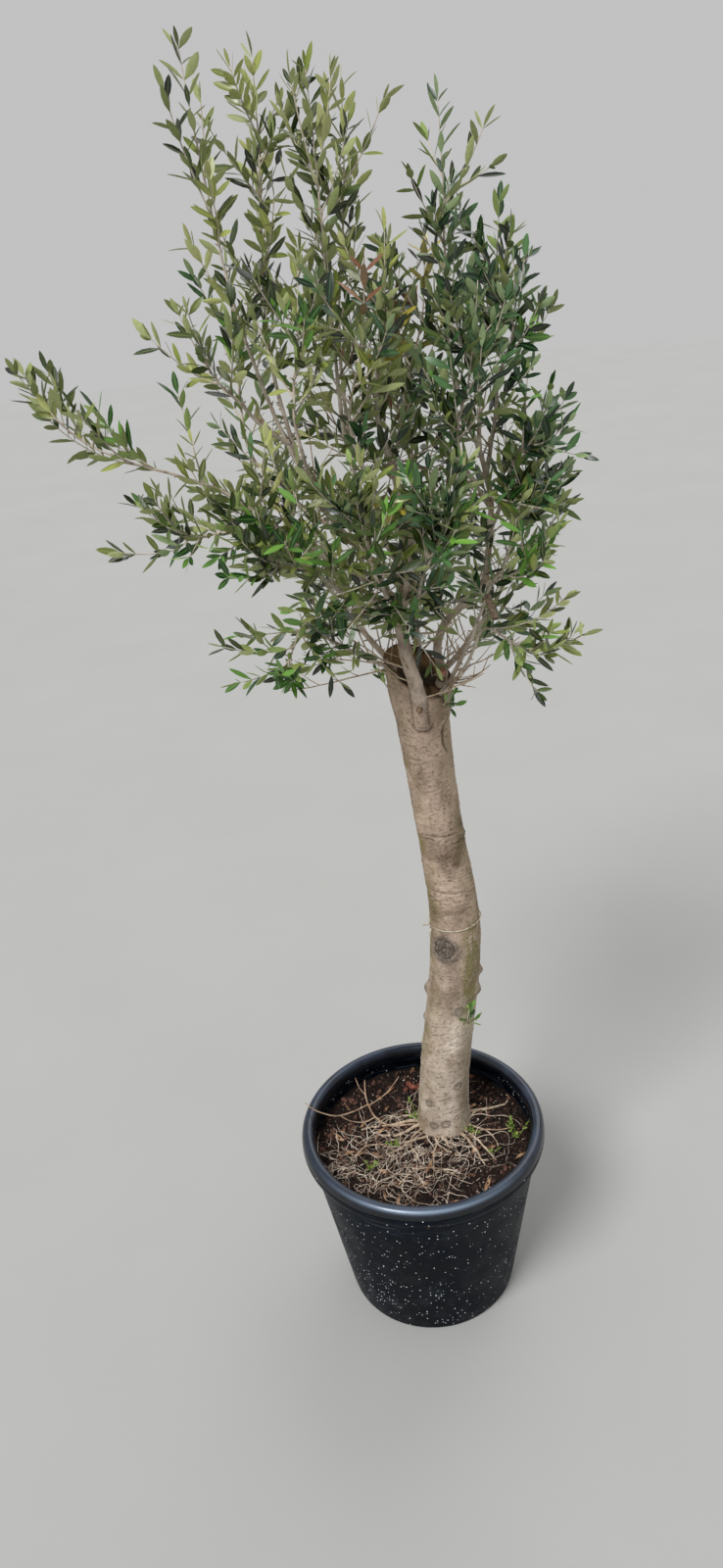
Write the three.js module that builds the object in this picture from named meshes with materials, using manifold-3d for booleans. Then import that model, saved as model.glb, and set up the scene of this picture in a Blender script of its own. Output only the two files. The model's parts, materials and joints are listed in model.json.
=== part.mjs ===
// Potted olive tree: a stout cut-back trunk in a black nursery pot, under an airy crown of upright shoots.
// Millimetres, +Z up. The origin is the centre of the pot's flat underside, and the front faces -Y.
import * as THREE from "three";
import { mergeVertices } from "three/addons/utils/BufferGeometryUtils.js";
import Module from "manifold-3d";

const wasm = await Module();
wasm.setup();

// Driving dimensions

const GAP = 0.3; // left between pieces that rest on each other
const SLIVER = 0.02; // faces smaller than this are merged after a join or a cut
const GOLDEN_ANGLE = 137.5; // turn from one side shoot to the next, in degrees
const UP = new THREE.Vector3(0, 0, 1);

const POT = {
  height: 415,
  rimRadius: 250, // widest, at the middle of the rolled lip
  mouthRadius: 222, // inner edge of the lip
  footRadius: 176,
  neckRadius: 236, // outside, just under the lip
  lipDepth: 40,
  wall: 5,
  floor: 6,
  footRound: 5,
  sides: 32,
};

const SOIL = {
  level: 358, // flat ground that the trunk stands on
  lump: 5, // how far the surface rises and sinks round it
  flatRadius: 70,
};

const TRUNK = {
  foot: { x: 49, y: 50 }, // off the pot's centre
  top: { x: 58, y: 62 },
  topLevel: 1400,
  sway: 43, // sideways bend at half height
  straighter: 0.25, // share of the bend that the upper half loses
  dish: 16, // hollow in the cut top
  cutDrop: 18, // the slanting cut's middle lies this far under the top level,
  cutSlant: 34, // and its rim rises and falls this far from there,
  cutCompass: 140, // highest at the back left
  sides: 16,
  rings: 24,
  // Radius at each share of the height: flared foot, slim upper part and swollen cut head.
  profile: [[0, 57], [0.04, 52], [0.12, 50], [0.3, 48.5], [0.45, 48], [0.57, 45], [0.66, 42.5], [0.78, 43.5],
    [0.88, 47], [0.95, 54], [1, 57]],
};

// Healed branch scars and knobs: level, compass, how far they stand out, and how high and wide they are.
const KNOBS = [
  { level: 800, compass: -104, out: 5, high: 26, wide: 24 },
  { level: 704, compass: 188, out: 7, high: 10, wide: 10 },
  { level: 748, compass: -2, out: 6, high: 12, wide: 10 },
  { level: 702, compass: -8, out: 6, high: 12, wide: 10 },
  { level: 640, compass: -60, out: 3, high: 12, wide: 12 },
  { level: 1062, compass: 4, out: 6, high: 14, wide: 12 },
  { level: 900, compass: 110, out: 6, high: 22, wide: 20 },
  { level: 1180, compass: 70, out: 5, high: 18, wide: 18 },
  { level: 560, compass: 140, out: 5, high: 20, wide: 18 },
  { level: 1262, compass: -98, out: 6, high: 34, wide: 22 },
];

const TIE = { level: 868, tilt: 4, wire: 1.1, sides: 18, stand: 2.4 }; // old plant tie left round the trunk

const BOUGH = { rings: 4, bentRings: 8, sides: 5, bendPoints: 24 };

const STEM = { rings: 5, sides: 4, tipRadius: 2 };
const SHOOT = { rings: 2, sides: 3, rootRadius: 2.8, tipRadius: 2.2, first: 0.1, last: 0.9, lift: 0.55 };
const LEAF = { length: 94, width: 27, widest: 0.4, thickness: 4.6, openAngle: 36, sunk: 0.6, apart: 12 };

const CLEARANCE = 1.5; // from a twig or leaf to a bough, and to the edge of its mass's space

// Main boughs. A foot is a level and a compass on the trunk, "depth" of its radius away from its middle,
// or a share of the way along a parent bough. Compass runs anticlockwise from +X, and lean is from
// straight up. Bow is how far the control point hangs outward, and sway how far it stands to the left.
// A bend moves a bough aside by "size" towards a compass bearing, within the first "reach" of its length.
// The crown's masses grow on from the tips: "crown" holds a mass's own stem, its side shoots and their reach.
const BOUGHS = [
  { name: "front", level: 1298, compass: -98, depth: 0.75, radii: [14.5, 4.8],
    to: { compass: -155, lean: 4, length: 490, bow: -28, sway: 46 },
    bend: { compass: 180, size: 32, reach: 0.75 },
    crown: { name: "centre_yellow", compass: -70, lean: 12, length: 225, shoots: 5, reach: 60, seed: 3 } },
  { name: "left", parent: "front", at: 0.52, radii: [6, 3],
    to: { compass: -170, lean: 32, length: 330, bow: 44, sway: 8 },
    crown: { name: "whip_left_top", compass: -158, lean: 10, length: 425, shoots: 4, reach: 40, seed: 12 } },
  { name: "left_top", parent: "left", at: 0.76, radii: [4, 2.8],
    to: { compass: 125, lean: 20, length: 150, bow: 10, sway: 0 },
    crown: { name: "top_left", compass: 65, lean: 6, length: 345, shoots: 6, reach: 60, seed: 5 } },
  { name: "left_shoulder", parent: "left", at: 0.92, radii: [3.4, 2.4],
    to: { compass: -145, lean: 46, length: 105, bow: 8, sway: 0 },
    crown: { name: "shoulder_left", compass: -160, lean: 36, length: 70, shoots: 3, reach: 50, seed: 8 } },
  { name: "left_back", parent: "left", at: 0.4, radii: [4, 2.6],
    to: { compass: 135, lean: 64, length: 210, bow: 14, sway: 6 },
    crown: { name: "back_left_high", compass: 115, lean: 8, length: 230, shoots: 5, reach: 70, seed: 9 } },
  { name: "left_inner", parent: "left", at: 0.58, radii: [3.6, 2.4],
    to: { compass: -110, lean: 30, length: 150, bow: 12, sway: 0 },
    crown: { name: "inner_left", compass: -30, lean: 8, length: 150, shoots: 5, reach: 60, seed: 26 } },
  { name: "leader", parent: "front", at: 0.57, radii: [5.5, 3.2],
    to: { compass: 175, lean: 18.5, length: 258, bow: 37, sway: 4 },
    crown: { name: "leader_top", compass: -115, lean: 2, length: 395, shoots: 7, reach: 60, seed: 2 } },
  { name: "leader_back", parent: "leader", at: 0.72, radii: [4, 2.8],
    to: { compass: 95, lean: 22, length: 140, bow: 14, sway: 0 },
    crown: { name: "leader_right_top", compass: 45, lean: 8, length: 325, shoots: 6, reach: 60, seed: 6 } },
  { name: "front_high", parent: "front", at: 0.7, radii: [4, 2.6],
    to: { compass: -130, lean: 34, length: 200, bow: 25, sway: 0 },
    crown: { name: "centre_front", compass: -50, lean: 14, length: 165, shoots: 5, reach: 60, seed: 7 } },
  { name: "centre_back", parent: "front", at: 0.9, radii: [3.6, 2.6],
    to: { compass: 70, lean: 42, length: 125, bow: 12, sway: 0 },
    crown: { name: "centre_back_top", compass: 40, lean: 22, length: 150, shoots: 5, reach: 60, seed: 11 } },
  { name: "right", level: 1335, compass: 5, depth: 0.5, radii: [8.5, 3.8],
    to: { compass: -10, lean: 10, length: 455, bow: 140, sway: 28 },
    bend: { compass: 180, size: 54, reach: 0.44 },
    crown: { name: "right_top", compass: -135, lean: 6, length: 385, shoots: 6, reach: 55, seed: 1 } },
  { name: "right_inner", parent: "right", at: 0.72, radii: [3.6, 2.4],
    to: { compass: -125, lean: 42, length: 140, bow: 10, sway: 0 },
    crown: { name: "inner_right", compass: -70, lean: 18, length: 190, shoots: 5, reach: 60, seed: 27 } },
  { name: "right_shoulder", parent: "right", at: 0.93, radii: [3.6, 2.6],
    to: { compass: 70, lean: 14, length: 120, bow: 8, sway: 0 },
    crown: { name: "shoulder_right", compass: 30, lean: 14, length: 165, shoots: 5, reach: 60, seed: 10 } },
  { name: "right_front", parent: "right", at: 0.84, radii: [4, 2.6],
    to: { compass: -75, lean: 22, length: 150, bow: 10, sway: 0 },
    crown: { name: "right_arm", compass: -50, lean: 22, length: 120, shoots: 5, reach: 55, seed: 4 } },
  { name: "right_middle", parent: "right", at: 0.65, radii: [4, 2.6],
    to: { compass: -60, lean: 28, length: 120, bow: 12, sway: 0 },
    crown: { name: "middle_right", compass: -45, lean: 40, length: 70, shoots: 3, reach: 55, seed: 14 } },
  { name: "right_low", parent: "right", at: 0.42, radii: [4, 2.6],
    to: { compass: -35, lean: 36, length: 120, bow: 30, sway: 10 },
    crown: { name: "low_right_inner", compass: -30, lean: 28, length: 75, shoots: 5, reach: 60, seed: 15 } },
  { name: "right_foot", level: 1330, compass: -20, depth: 0.6, radii: [4.4, 2.6],
    to: { compass: -40, lean: 28, length: 236, bow: 20, sway: 0 },
    crown: { name: "foot_right", compass: -30, lean: 54, length: 95, shoots: 5, reach: 60, seed: 28 } },
  { name: "low_right", level: 1330, compass: -45, depth: 0.6, radii: [3.6, 2.4],
    to: { compass: -30, lean: 34, length: 162, bow: 20, sway: 0 },
    crown: { name: "hanging_right", compass: -30, lean: 100, length: 110, shoots: 3, reach: 45, seed: 16 } },
  { name: "reach_left", parent: "front", at: 0.48, radii: [4.6, 2.6],
    to: { compass: -160, lean: 51, length: 325, bow: 11, sway: 21 },
    crown: { name: "arm_far_left", compass: -175, lean: 58, length: 290, shoots: 4, reach: 60, seed: 17 } },
  { name: "left_middle", parent: "reach_left", at: 0.6, radii: [3.4, 2.4],
    to: { compass: -155, lean: 68, length: 110, bow: 10, sway: 0 },
    crown: { name: "middle_left", compass: -165, lean: 80, length: 95, shoots: 5, reach: 55, seed: 18 } },
  { name: "low_left", level: 1385, compass: 175, depth: 0.7, radii: [4.4, 2.4],
    to: { compass: -150, lean: 52, length: 200, bow: 16, sway: 0 },
    crown: { name: "hanging_left", compass: -140, lean: 126, length: 90, shoots: 3, reach: 50, seed: 19 } },
  { name: "front_left_low", parent: "front", at: 0.4, radii: [4.4, 2.6],
    to: { compass: -140, lean: 52, length: 200, bow: 14, sway: 0 },
    crown: { name: "low_left_front", compass: -150, lean: 60, length: 105, shoots: 6, reach: 65, seed: 24 } },
  { name: "front_low", parent: "front", at: 0.45, radii: [4.2, 2.6],
    to: { compass: -108, lean: 54, length: 180, bow: 14, sway: 0 },
    crown: { name: "low_front", compass: -100, lean: 24, length: 105, shoots: 5, reach: 65, seed: 29 } },
  { name: "front_right_low", parent: "front", at: 0.34, radii: [4, 2.6],
    to: { compass: -74, lean: 40, length: 170, bow: 14, sway: 0 },
    crown: { name: "low_right_front", compass: -50, lean: 28, length: 125, shoots: 5, reach: 65, seed: 25 } },
  { name: "back", level: 1352, compass: 85, depth: 0.76, radii: [8, 4],
    to: { compass: 80, lean: 20, length: 256, bow: 30, sway: 10 },
    crown: { name: "back_centre", compass: 95, lean: 12, length: 400, shoots: 6, reach: 90, seed: 20 } },
  { name: "back_left", level: 1370, compass: 135, depth: 0.6, radii: [6.5, 3],
    to: { compass: 140, lean: 48, length: 220, bow: 30, sway: 0 },
    crown: { name: "back_left_low", compass: 135, lean: 28, length: 210, shoots: 5, reach: 80, seed: 21 } },
  { name: "back_right", level: 1350, compass: 42, depth: 0.6, radii: [6.5, 3],
    to: { compass: 35, lean: 53.4, length: 232, bow: 30, sway: 0 },
    crown: { name: "back_right_low", compass: 35, lean: 30, length: 215, shoots: 5, reach: 80, seed: 22 } },
];

// Finishes

const FINISH = {
  blackPlastic: new THREE.MeshStandardMaterial({ color: 0x24282c, roughness: 0.5, metalness: 0 }),
  compost: new THREE.MeshStandardMaterial({ color: 0x3a2a20, roughness: 1, metalness: 0 }),
  trunkBark: new THREE.MeshStandardMaterial({ color: 0x9c8568, roughness: 0.9, metalness: 0 }),
  boughBark: new THREE.MeshStandardMaterial({ color: 0x8f867c, roughness: 0.85, metalness: 0 }),
  foliage: new THREE.MeshStandardMaterial({ color: 0x5d6b45, roughness: 0.6, metalness: 0 }),
  wire: new THREE.MeshStandardMaterial({ color: 0x6f7478, roughness: 0.4, metalness: 1 }),
};

// Small tools

const radians = THREE.MathUtils.degToRad;

// The unit vector at a compass bearing and a lean away from straight up.
function heading(compass, lean) {
  const flat = Math.sin(radians(lean));
  return new THREE.Vector3(
    flat * Math.cos(radians(compass)),
    flat * Math.sin(radians(compass)),
    Math.cos(radians(lean)),
  );
}

// A repeatable number from 0 to 1 for each seed, count and use.
function chance(seed, count, use) {
  const wave = Math.sin(seed * 12.9898 + count * 78.233 + use * 37.719) * 43758.5453;
  return wave - Math.floor(wave);
}

// A smooth run through a list of pairs [share, value].
function between(pairs, share) {
  let i = 1;
  while (i < pairs.length - 1 && pairs[i][0] < share) i += 1;
  const [from, to] = [pairs[i - 1], pairs[i]];
  return THREE.MathUtils.lerp(from[1], to[1], THREE.MathUtils.smoothstep(share, from[0], to[0]));
}

// A closed tube along a curve. The section's radius is a function of the share along it.
function taperedTube(curve, rings, sides, radiusAt) {
  const tube = new THREE.CylinderGeometry(1, 1, 1, sides, rings);
  const frames = curve.computeFrenetFrames(rings);
  const corner = new THREE.Vector3();
  const place = tube.getAttribute("position");
  for (let i = 0; i < place.count; i += 1) {
    corner.fromBufferAttribute(place, i);
    const ring = Math.round((corner.y + 0.5) * rings);
    const radius = radiusAt(ring / rings);
    const point = curve.getPointAt(ring / rings);
    point.addScaledVector(frames.binormals[ring], corner.x * radius);
    point.addScaledVector(frames.normals[ring], corner.z * radius);
    place.setXYZ(i, point.x, point.y, point.z);
  }
  return tube;
}

const taper = (from, to) => (share) => THREE.MathUtils.lerp(from, to, share);

function solidFrom(geometry) {
  const bare = new THREE.BufferGeometry();
  bare.setAttribute("position", geometry.getAttribute("position"));
  bare.setIndex(geometry.index);
  const merged = mergeVertices(bare, 1e-4);
  return new wasm.Manifold(new wasm.Mesh({
    numProp: 3,
    vertProperties: merged.getAttribute("position").array,
    triVerts: new Uint32Array(merged.index.array),
  }));
}

// The largest body of a solid, without its slivers, with sealed hollows filled and loose scraps dropped.
function mainBody(solid) {
  const clean = solid.asOriginal().simplify(SLIVER);
  return clean.decompose().reduce((best, body) => (body.volume() > best.volume() ? body : best));
}

function meshFrom(solid, name, finish) {
  const { vertProperties, triVerts } = solid.getMesh();
  const geometry = new THREE.BufferGeometry();
  geometry.setAttribute("position", new THREE.BufferAttribute(vertProperties, 3));
  geometry.setIndex(new THREE.BufferAttribute(triVerts, 1));
  geometry.computeVertexNormals();
  return named(new THREE.Mesh(geometry, finish), name);
}

function named(mesh, name) {
  mesh.name = name;
  return mesh;
}

// Pot and soil

// Outside radius of the pot's wall at a level, under the lip.
function wallRadius(level) {
  const neck = POT.height - POT.lipDepth;
  return THREE.MathUtils.lerp(POT.footRadius, POT.neckRadius, level / neck);
}

// The pot is turned round its axis: flat floor, tapering wall and a rolled lip, open at the top.
function makePot() {
  const neck = POT.height - POT.lipDepth;
  const lipTop = POT.height;
  const profile = new THREE.Path();
  profile.moveTo(0, 0);
  profile.lineTo(POT.footRadius - POT.footRound, 0);
  profile.lineTo(POT.footRadius, POT.footRound);
  profile.lineTo(POT.neckRadius, neck);
  const outer = [
    [POT.neckRadius + 9, neck + 6],
    [POT.rimRadius, neck + 24],
    [POT.rimRadius - 3, lipTop - 5],
    [POT.rimRadius - 12, lipTop],
    [POT.mouthRadius + 7, lipTop - 2],
    [POT.mouthRadius, lipTop - 9],
    [POT.mouthRadius + 5, lipTop - 24],
  ];
  outer.forEach(([radius, level]) => profile.lineTo(radius, level));
  profile.lineTo(wallRadius(SOIL.level) - POT.wall, SOIL.level);
  profile.lineTo(wallRadius(POT.floor) - POT.wall, POT.floor);
  profile.lineTo(0, POT.floor);
  const points = profile.curves.map((edge) => edge.v2);
  points.unshift(profile.curves[0].v1);
  const turned = new THREE.LatheGeometry(points, POT.sides);
  turned.rotateX(Math.PI / 2);
  return named(new THREE.Mesh(turned, FINISH.blackPlastic), "pot");
}

// How far the soil's surface stands off its flat level.
function soilRelief(x, y) {
  const away = Math.hypot(x - TRUNK.foot.x, y - TRUNK.foot.y);
  const open = THREE.MathUtils.smoothstep(away, SOIL.flatRadius, SOIL.flatRadius * 2);
  return -SOIL.lump * open * (0.5 + 0.25 * Math.sin(x / 31 + 1) + 0.25 * Math.cos(y / 27 + x / 60));
}

function makeSoil() {
  const foot = wallRadius(POT.floor) - POT.wall - GAP;
  const edge = wallRadius(SOIL.level) - POT.wall - GAP - 1;
  const points = [
    [0, POT.floor + GAP], [foot, POT.floor + GAP], [edge, SOIL.level],
    [edge * 0.75, SOIL.level], [edge * 0.5, SOIL.level], [0, SOIL.level],
  ].map(([radius, level]) => new THREE.Vector2(radius, level));
  const turned = new THREE.LatheGeometry(points, POT.sides);
  turned.rotateX(Math.PI / 2);
  const place = turned.getAttribute("position");
  for (let i = 0; i < place.count; i += 1) {
    const [x, y, z] = [place.getX(i), place.getY(i), place.getZ(i)];
    if (z > SOIL.level - 1) place.setZ(i, z + soilRelief(x, y));
  }
  return named(new THREE.Mesh(turned, FINISH.compost), "soil");
}

// Trunk

// The trunk's middle line: it leans from its foot to its top and sways to the right between them.
function trunkMiddle(level) {
  const share = (level - SOIL.level - GAP) / (TRUNK.topLevel - SOIL.level - GAP);
  const kept = 1 - TRUNK.straighter * THREE.MathUtils.smoothstep(share, 0.45, 0.7);
  const sway = TRUNK.sway * kept * Math.sin(Math.PI * share) ** 2;
  return new THREE.Vector3(
    THREE.MathUtils.lerp(TRUNK.foot.x, TRUNK.top.x, share) + sway,
    THREE.MathUtils.lerp(TRUNK.foot.y, TRUNK.top.y, share),
    level,
  );
}

// The trunk's radius at a level and a compass bearing, with its knobs and the ribs of its swollen head.
function trunkRadius(level, compass) {
  const share = (level - SOIL.level - GAP) / (TRUNK.topLevel - SOIL.level - GAP);
  let radius = between(TRUNK.profile, share);
  const turn = radians(compass);
  radius *= 1 + 0.02 * Math.sin(2 * turn + 0.8 + 3 * share) + 0.012 * Math.sin(5 * turn + 6 * share);
  radius += 3 * THREE.MathUtils.smoothstep(share, 0.86, 1) * Math.sin(4 * turn + 1);
  KNOBS.forEach((knob) => {
    const round = radians(THREE.MathUtils.euclideanModulo(compass - knob.compass + 180, 360) - 180) * radius;
    const along = level - knob.level;
    radius += knob.out * Math.exp(-((along / knob.high) ** 2) - (round / knob.wide) ** 2);
  });
  return radius;
}

// A grid of levels and bearings, closed by a flat foot and a dished cut at the top.
function makeTrunk() {
  const { sides, rings } = TRUNK;
  const bark = new THREE.CylinderGeometry(1, 1, 1, sides, rings);
  const place = bark.getAttribute("position");
  const [foot, top] = [SOIL.level + GAP, TRUNK.topLevel];
  for (let i = 0; i < place.count; i += 1) {
    const [across, up, away] = [place.getZ(i), place.getY(i), place.getX(i)];
    const share = up + 0.5;
    const compass = THREE.MathUtils.radToDeg(Math.atan2(away, across));
    const level = THREE.MathUtils.lerp(foot, top, share);
    const middle = trunkMiddle(level);
    const isCentre = Math.hypot(across, away) < 0.5;
    const radius = isCentre ? 0 : trunkRadius(level, compass);
    const slant = Math.cos(radians(compass - TRUNK.cutCompass)) * TRUNK.cutSlant;
    const cut = (isCentre ? -TRUNK.dish : slant) - TRUNK.cutDrop;
    const rise = THREE.MathUtils.smoothstep(share, 0.88, 1) * cut;
    place.setXYZ(
      i,
      middle.x + radius * Math.cos(radians(compass)),
      middle.y + radius * Math.sin(radians(compass)),
      level + rise,
    );
  }
  return solidFrom(bark);
}

// The old tie is a ring of wire that lies close round the bark.
function makeTie() {
  const centre = trunkMiddle(TIE.level);
  const points = [];
  for (let i = 0; i < TIE.sides; i += 1) {
    const compass = (360 * i) / TIE.sides;
    const level = TIE.level + TIE.tilt * Math.cos(radians(compass - 20));
    const radius = trunkRadius(level, compass) + TIE.wire + TIE.stand;
    points.push(new THREE.Vector3(
      centre.x + radius * Math.cos(radians(compass)),
      centre.y + radius * Math.sin(radians(compass)),
      level,
    ));
  }
  const loop = new THREE.CatmullRomCurve3(points, true);
  const section = new THREE.Shape();
  section.absarc(0, 0, TIE.wire, 0, 2 * Math.PI);
  const ring = new THREE.ExtrudeGeometry(section, { steps: TIE.sides, curveSegments: 2, extrudePath: loop });
  return named(new THREE.Mesh(ring, FINISH.wire), "old_tie");
}

// Boughs

// A quadratic curve from a foot to a tip, with its control point bowed outward and swayed to the left.
function limbCurve(foot, { compass, lean, length, bow, sway }) {
  const along = heading(compass, lean);
  const tip = foot.clone().addScaledVector(along, length);
  const control = foot.clone().addScaledVector(along, length / 2);
  control.addScaledVector(heading(compass, lean + 90), bow);
  control.addScaledVector(heading(compass + 90, 90), sway);
  return new THREE.QuadraticBezierCurve3(foot, control, tip);
}

// A curve whose points are moved aside by a wave that fades out at both ends of its reach.
function bentAside(curve, { compass, size, reach }) {
  const points = curve.getPoints(BOUGH.bendPoints).map((point, i) => {
    const share = Math.min(1, i / BOUGH.bendPoints / reach);
    return point.addScaledVector(heading(compass, 90), size * Math.sin(Math.PI * share) ** 2);
  });
  return new THREE.CatmullRomCurve3(points);
}

function boughFoot(bough, grown) {
  if (bough.parent) return grown.get(bough.parent).curve.getPointAt(bough.at);
  const away = bough.depth * trunkRadius(bough.level, bough.compass);
  return trunkMiddle(bough.level).addScaledVector(heading(bough.compass, 90), away);
}

// Every bough's curve and radii, each grown from the trunk or from a parent that comes before it.
function growBoughs() {
  const grown = new Map();
  BOUGHS.forEach((bough) => {
    const plain = limbCurve(boughFoot(bough, grown), bough.to);
    const curve = bough.bend ? bentAside(plain, bough.bend) : plain;
    grown.set(bough.name, { ...bough, curve, radiusAt: taper(...bough.radii) });
  });
  return grown;
}

function boughSolid(bough, allowance = 0) {
  const radiusAt = (share) => bough.radiusAt(share) + allowance;
  const rings = bough.bend ? BOUGH.bentRings : BOUGH.rings;
  return solidFrom(taperedTube(bough.curve, rings, BOUGH.sides, radiusAt));
}

// The trunk, a little larger all round, to cut the boughs' feet clear of it.
function swollen(solid, middle) {
  const grow = 1 + (2 * GAP) / TRUNK.profile[0][1];
  const centred = solid.translate([-middle.x, -middle.y, 0]).scale([grow, grow, 1]);
  return centred.translate([middle.x, middle.y, GAP]);
}

// Masses of leaves

// A mass's stem goes on from its bough's tip in the same direction and bends towards its own heading.
function stemCurve(bough) {
  const { compass, lean, length } = bough.crown;
  const onward = bough.curve.getTangentAt(1);
  const foot = bough.curve.getPointAt(1).addScaledVector(onward, GAP);
  const tip = foot.clone().addScaledVector(heading(compass, lean), length);
  const bend = foot.clone().addScaledVector(onward, length / 3);
  const ending = heading(compass, lean).lerp(UP, 0.5).normalize();
  const leadIn = tip.clone().addScaledVector(ending, -length / 3);
  return new THREE.CubicBezierCurve3(foot, bend, leadIn, tip);
}

// A side shoot leaves its stem to one side and turns up towards its tip.
function shootCurve(stem, { shoots, reach, seed }, count) {
  const share = THREE.MathUtils.lerp(SHOOT.first, SHOOT.last, (count + 0.5) / shoots);
  const foot = stem.getPointAt(share);
  const along = stem.getTangentAt(share);
  const turn = count * GOLDEN_ANGLE + 40 * chance(seed, count, 1);
  const side = heading(turn, 90).projectOnPlane(along).normalize();
  const open = radians(38 + 20 * chance(seed, count, 2));
  const start = along.multiplyScalar(Math.cos(open)).addScaledVector(side, Math.sin(open));
  const length = reach * (1.05 - 0.45 * share) * (0.75 + 0.4 * chance(seed, count, 3));
  const bend = foot.clone().addScaledVector(start, length / 2);
  const ending = start.clone().addScaledVector(UP, SHOOT.lift).normalize();
  const tip = bend.clone().addScaledVector(ending, length / 2);
  return new THREE.QuadraticBezierCurve3(foot, bend, tip);
}

// Leaves stand in opposite pairs, each pair turned a quarter from the last, with one leaf at the tip.
function leavesAlong(curve, pairs, from, seed) {
  const leaves = [];
  for (let pair = 0; pair < pairs; pair += 1) {
    const share = THREE.MathUtils.lerp(from, 0.92, pairs > 1 ? pair / (pairs - 1) : 0.5);
    const root = curve.getPointAt(share);
    const along = curve.getTangentAt(share);
    const quarter = pair % 2 ? 90 : 0;
    const level = heading(360 * chance(seed, pair, 4), 90);
    const side = level.cross(along).normalize().applyAxisAngle(along, radians(quarter));
    [1, -1].forEach((hand) => {
      const open = radians(LEAF.openAngle + 16 * chance(seed, pair, 5 + hand));
      const way = along.clone().multiplyScalar(Math.cos(open)).addScaledVector(side, hand * Math.sin(open));
      const length = LEAF.length * (0.75 + 0.35 * chance(seed, pair, 8 + hand));
      leaves.push({ root, way, side: along.clone().cross(side), length });
    });
  }
  const tip = curve.getPointAt(1);
  const way = curve.getTangentAt(1);
  const side = heading(90 * chance(seed, 99, 1), 90).cross(way).normalize();
  leaves.push({ root: tip, way, side, length: LEAF.length * 0.8 });
  return leaves;
}

// A blade of eight faces: pointed at both ends, thin at its edges and widest nearer its root.
function bladeGeometry({ root, way, side, length }) {
  const blade = new THREE.OctahedronGeometry(1);
  const place = blade.getAttribute("position");
  for (let i = 0; i < place.count; i += 1) {
    const ahead = place.getX(i);
    place.setX(i, ahead > 0.5 ? 1 : (ahead < -0.5 ? 0 : LEAF.widest));
  }
  const across = side.clone().projectOnPlane(way).normalize();
  const through = way.clone().cross(across);
  const half = length / LEAF.length / 2;
  blade.applyMatrix4(new THREE.Matrix4()
    .makeBasis(
      way.clone().multiplyScalar(length),
      across.multiplyScalar(LEAF.width * half),
      through.multiplyScalar(LEAF.thickness * half),
    )
    .setPosition(root.clone().addScaledVector(way, -LEAF.sunk)));
  return blade;
}

// Points over a blade that are tested against the edge of its space and against the boughs.
function bladePoints({ root, way, side, length }) {
  const across = side.clone().projectOnPlane(way).normalize();
  const points = [];
  for (let share = 0.15; share < 1.01; share += 0.17) {
    const half = (LEAF.width / 2) * Math.min(share / LEAF.widest, (1 - share) / (1 - LEAF.widest));
    [-half, 0, half].forEach((off) => {
      points.push(root.clone().addScaledVector(way, share * length).addScaledVector(across, off));
    });
  }
  return points;
}

// The nearest distance from a point to a run of straight pieces, less the radius there.
function distanceTo(line, point) {
  const nearest = new THREE.Vector3();
  let best = Infinity;
  line.pieces.forEach((piece, i) => {
    const share = piece.closestPointToPointParameter(point, true);
    piece.at(share, nearest);
    const radius = line.radiusAt((i + share) / line.pieces.length);
    best = Math.min(best, nearest.distanceTo(point) - radius);
  });
  return best;
}

function asLine(curve, radiusAt) {
  const points = curve.getSpacedPoints(8);
  return { pieces: points.slice(1).map((point, i) => new THREE.Line3(points[i], point)), radiusAt };
}

// The outer part of a blade's midrib.
function bladeLine({ root, way, length }) {
  const [from, to] = [0.35, 1].map((share) => root.clone().addScaledVector(way, share * length));
  return { pieces: [new THREE.Line3(from, to)], radiusAt: () => 0 };
}

// One mass: a stem, the side shoots and leaves that keep to its space, all fused.
// Its space is what lies nearer to its own stem than to any other, within its reach.
function growMass(bough, stems, limbs) {
  const { crown } = bough;
  const own = stems.get(bough.name);
  const stem = own.curve;
  const others = [...stems.values()].filter((other) => other !== own);
  const inSpace = (point, outer) => {
    const near = distanceTo(own.line, point);
    return near < outer
      && others.every((other) => distanceTo(other.line, point) > near + CLEARANCE)
      && limbs.every((limb) => distanceTo(limb, point) > CLEARANCE);
  };
  const outerEdge = crown.reach + LEAF.length;
  const placed = [];
  const isFree = (leaf) => {
    const outerPart = leaf.root.clone().addScaledVector(leaf.way, leaf.length * 0.6);
    return bladePoints(leaf).every((point) => inSpace(point, outerEdge))
      && placed.every((line) => distanceTo(line, outerPart) > LEAF.apart);
  };
  const pieces = [];
  const addTwig = (curve, { rings, sides }, from, to) => {
    pieces.push(solidFrom(taperedTube(curve, rings, sides, taper(from, to))));
  };
  const addLeaves = (leaves) => leaves.filter(isFree).forEach((leaf) => {
    placed.push(bladeLine(leaf));
    pieces.push(solidFrom(bladeGeometry(leaf)));
  });
  addTwig(stem, STEM, bough.radii[1] * 0.95, STEM.tipRadius);
  addLeaves(leavesAlong(stem, Math.round(crown.length / 95), 0.25, crown.seed * 100));
  for (let count = 0; count < crown.shoots; count += 1) {
    const shoot = shootCurve(stem, crown, count);
    const clear = shoot.getSpacedPoints(6).slice(1).every((point) => inSpace(point, outerEdge));
    if (clear) {
      addTwig(shoot, SHOOT, SHOOT.rootRadius, SHOOT.tipRadius);
      addLeaves(leavesAlong(shoot, 1, 0.6, crown.seed * 100 + count + 1));
    }
  }
  return meshFrom(mainBody(wasm.Manifold.union(pieces)), crown.name, FINISH.foliage);
}

// The whole plant

const boughs = growBoughs();
const trunkSolid = makeTrunk();
const headMiddle = trunkMiddle(TRUNK.topLevel);
const trunkKeepOut = swollen(trunkSolid, headMiddle);

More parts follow.
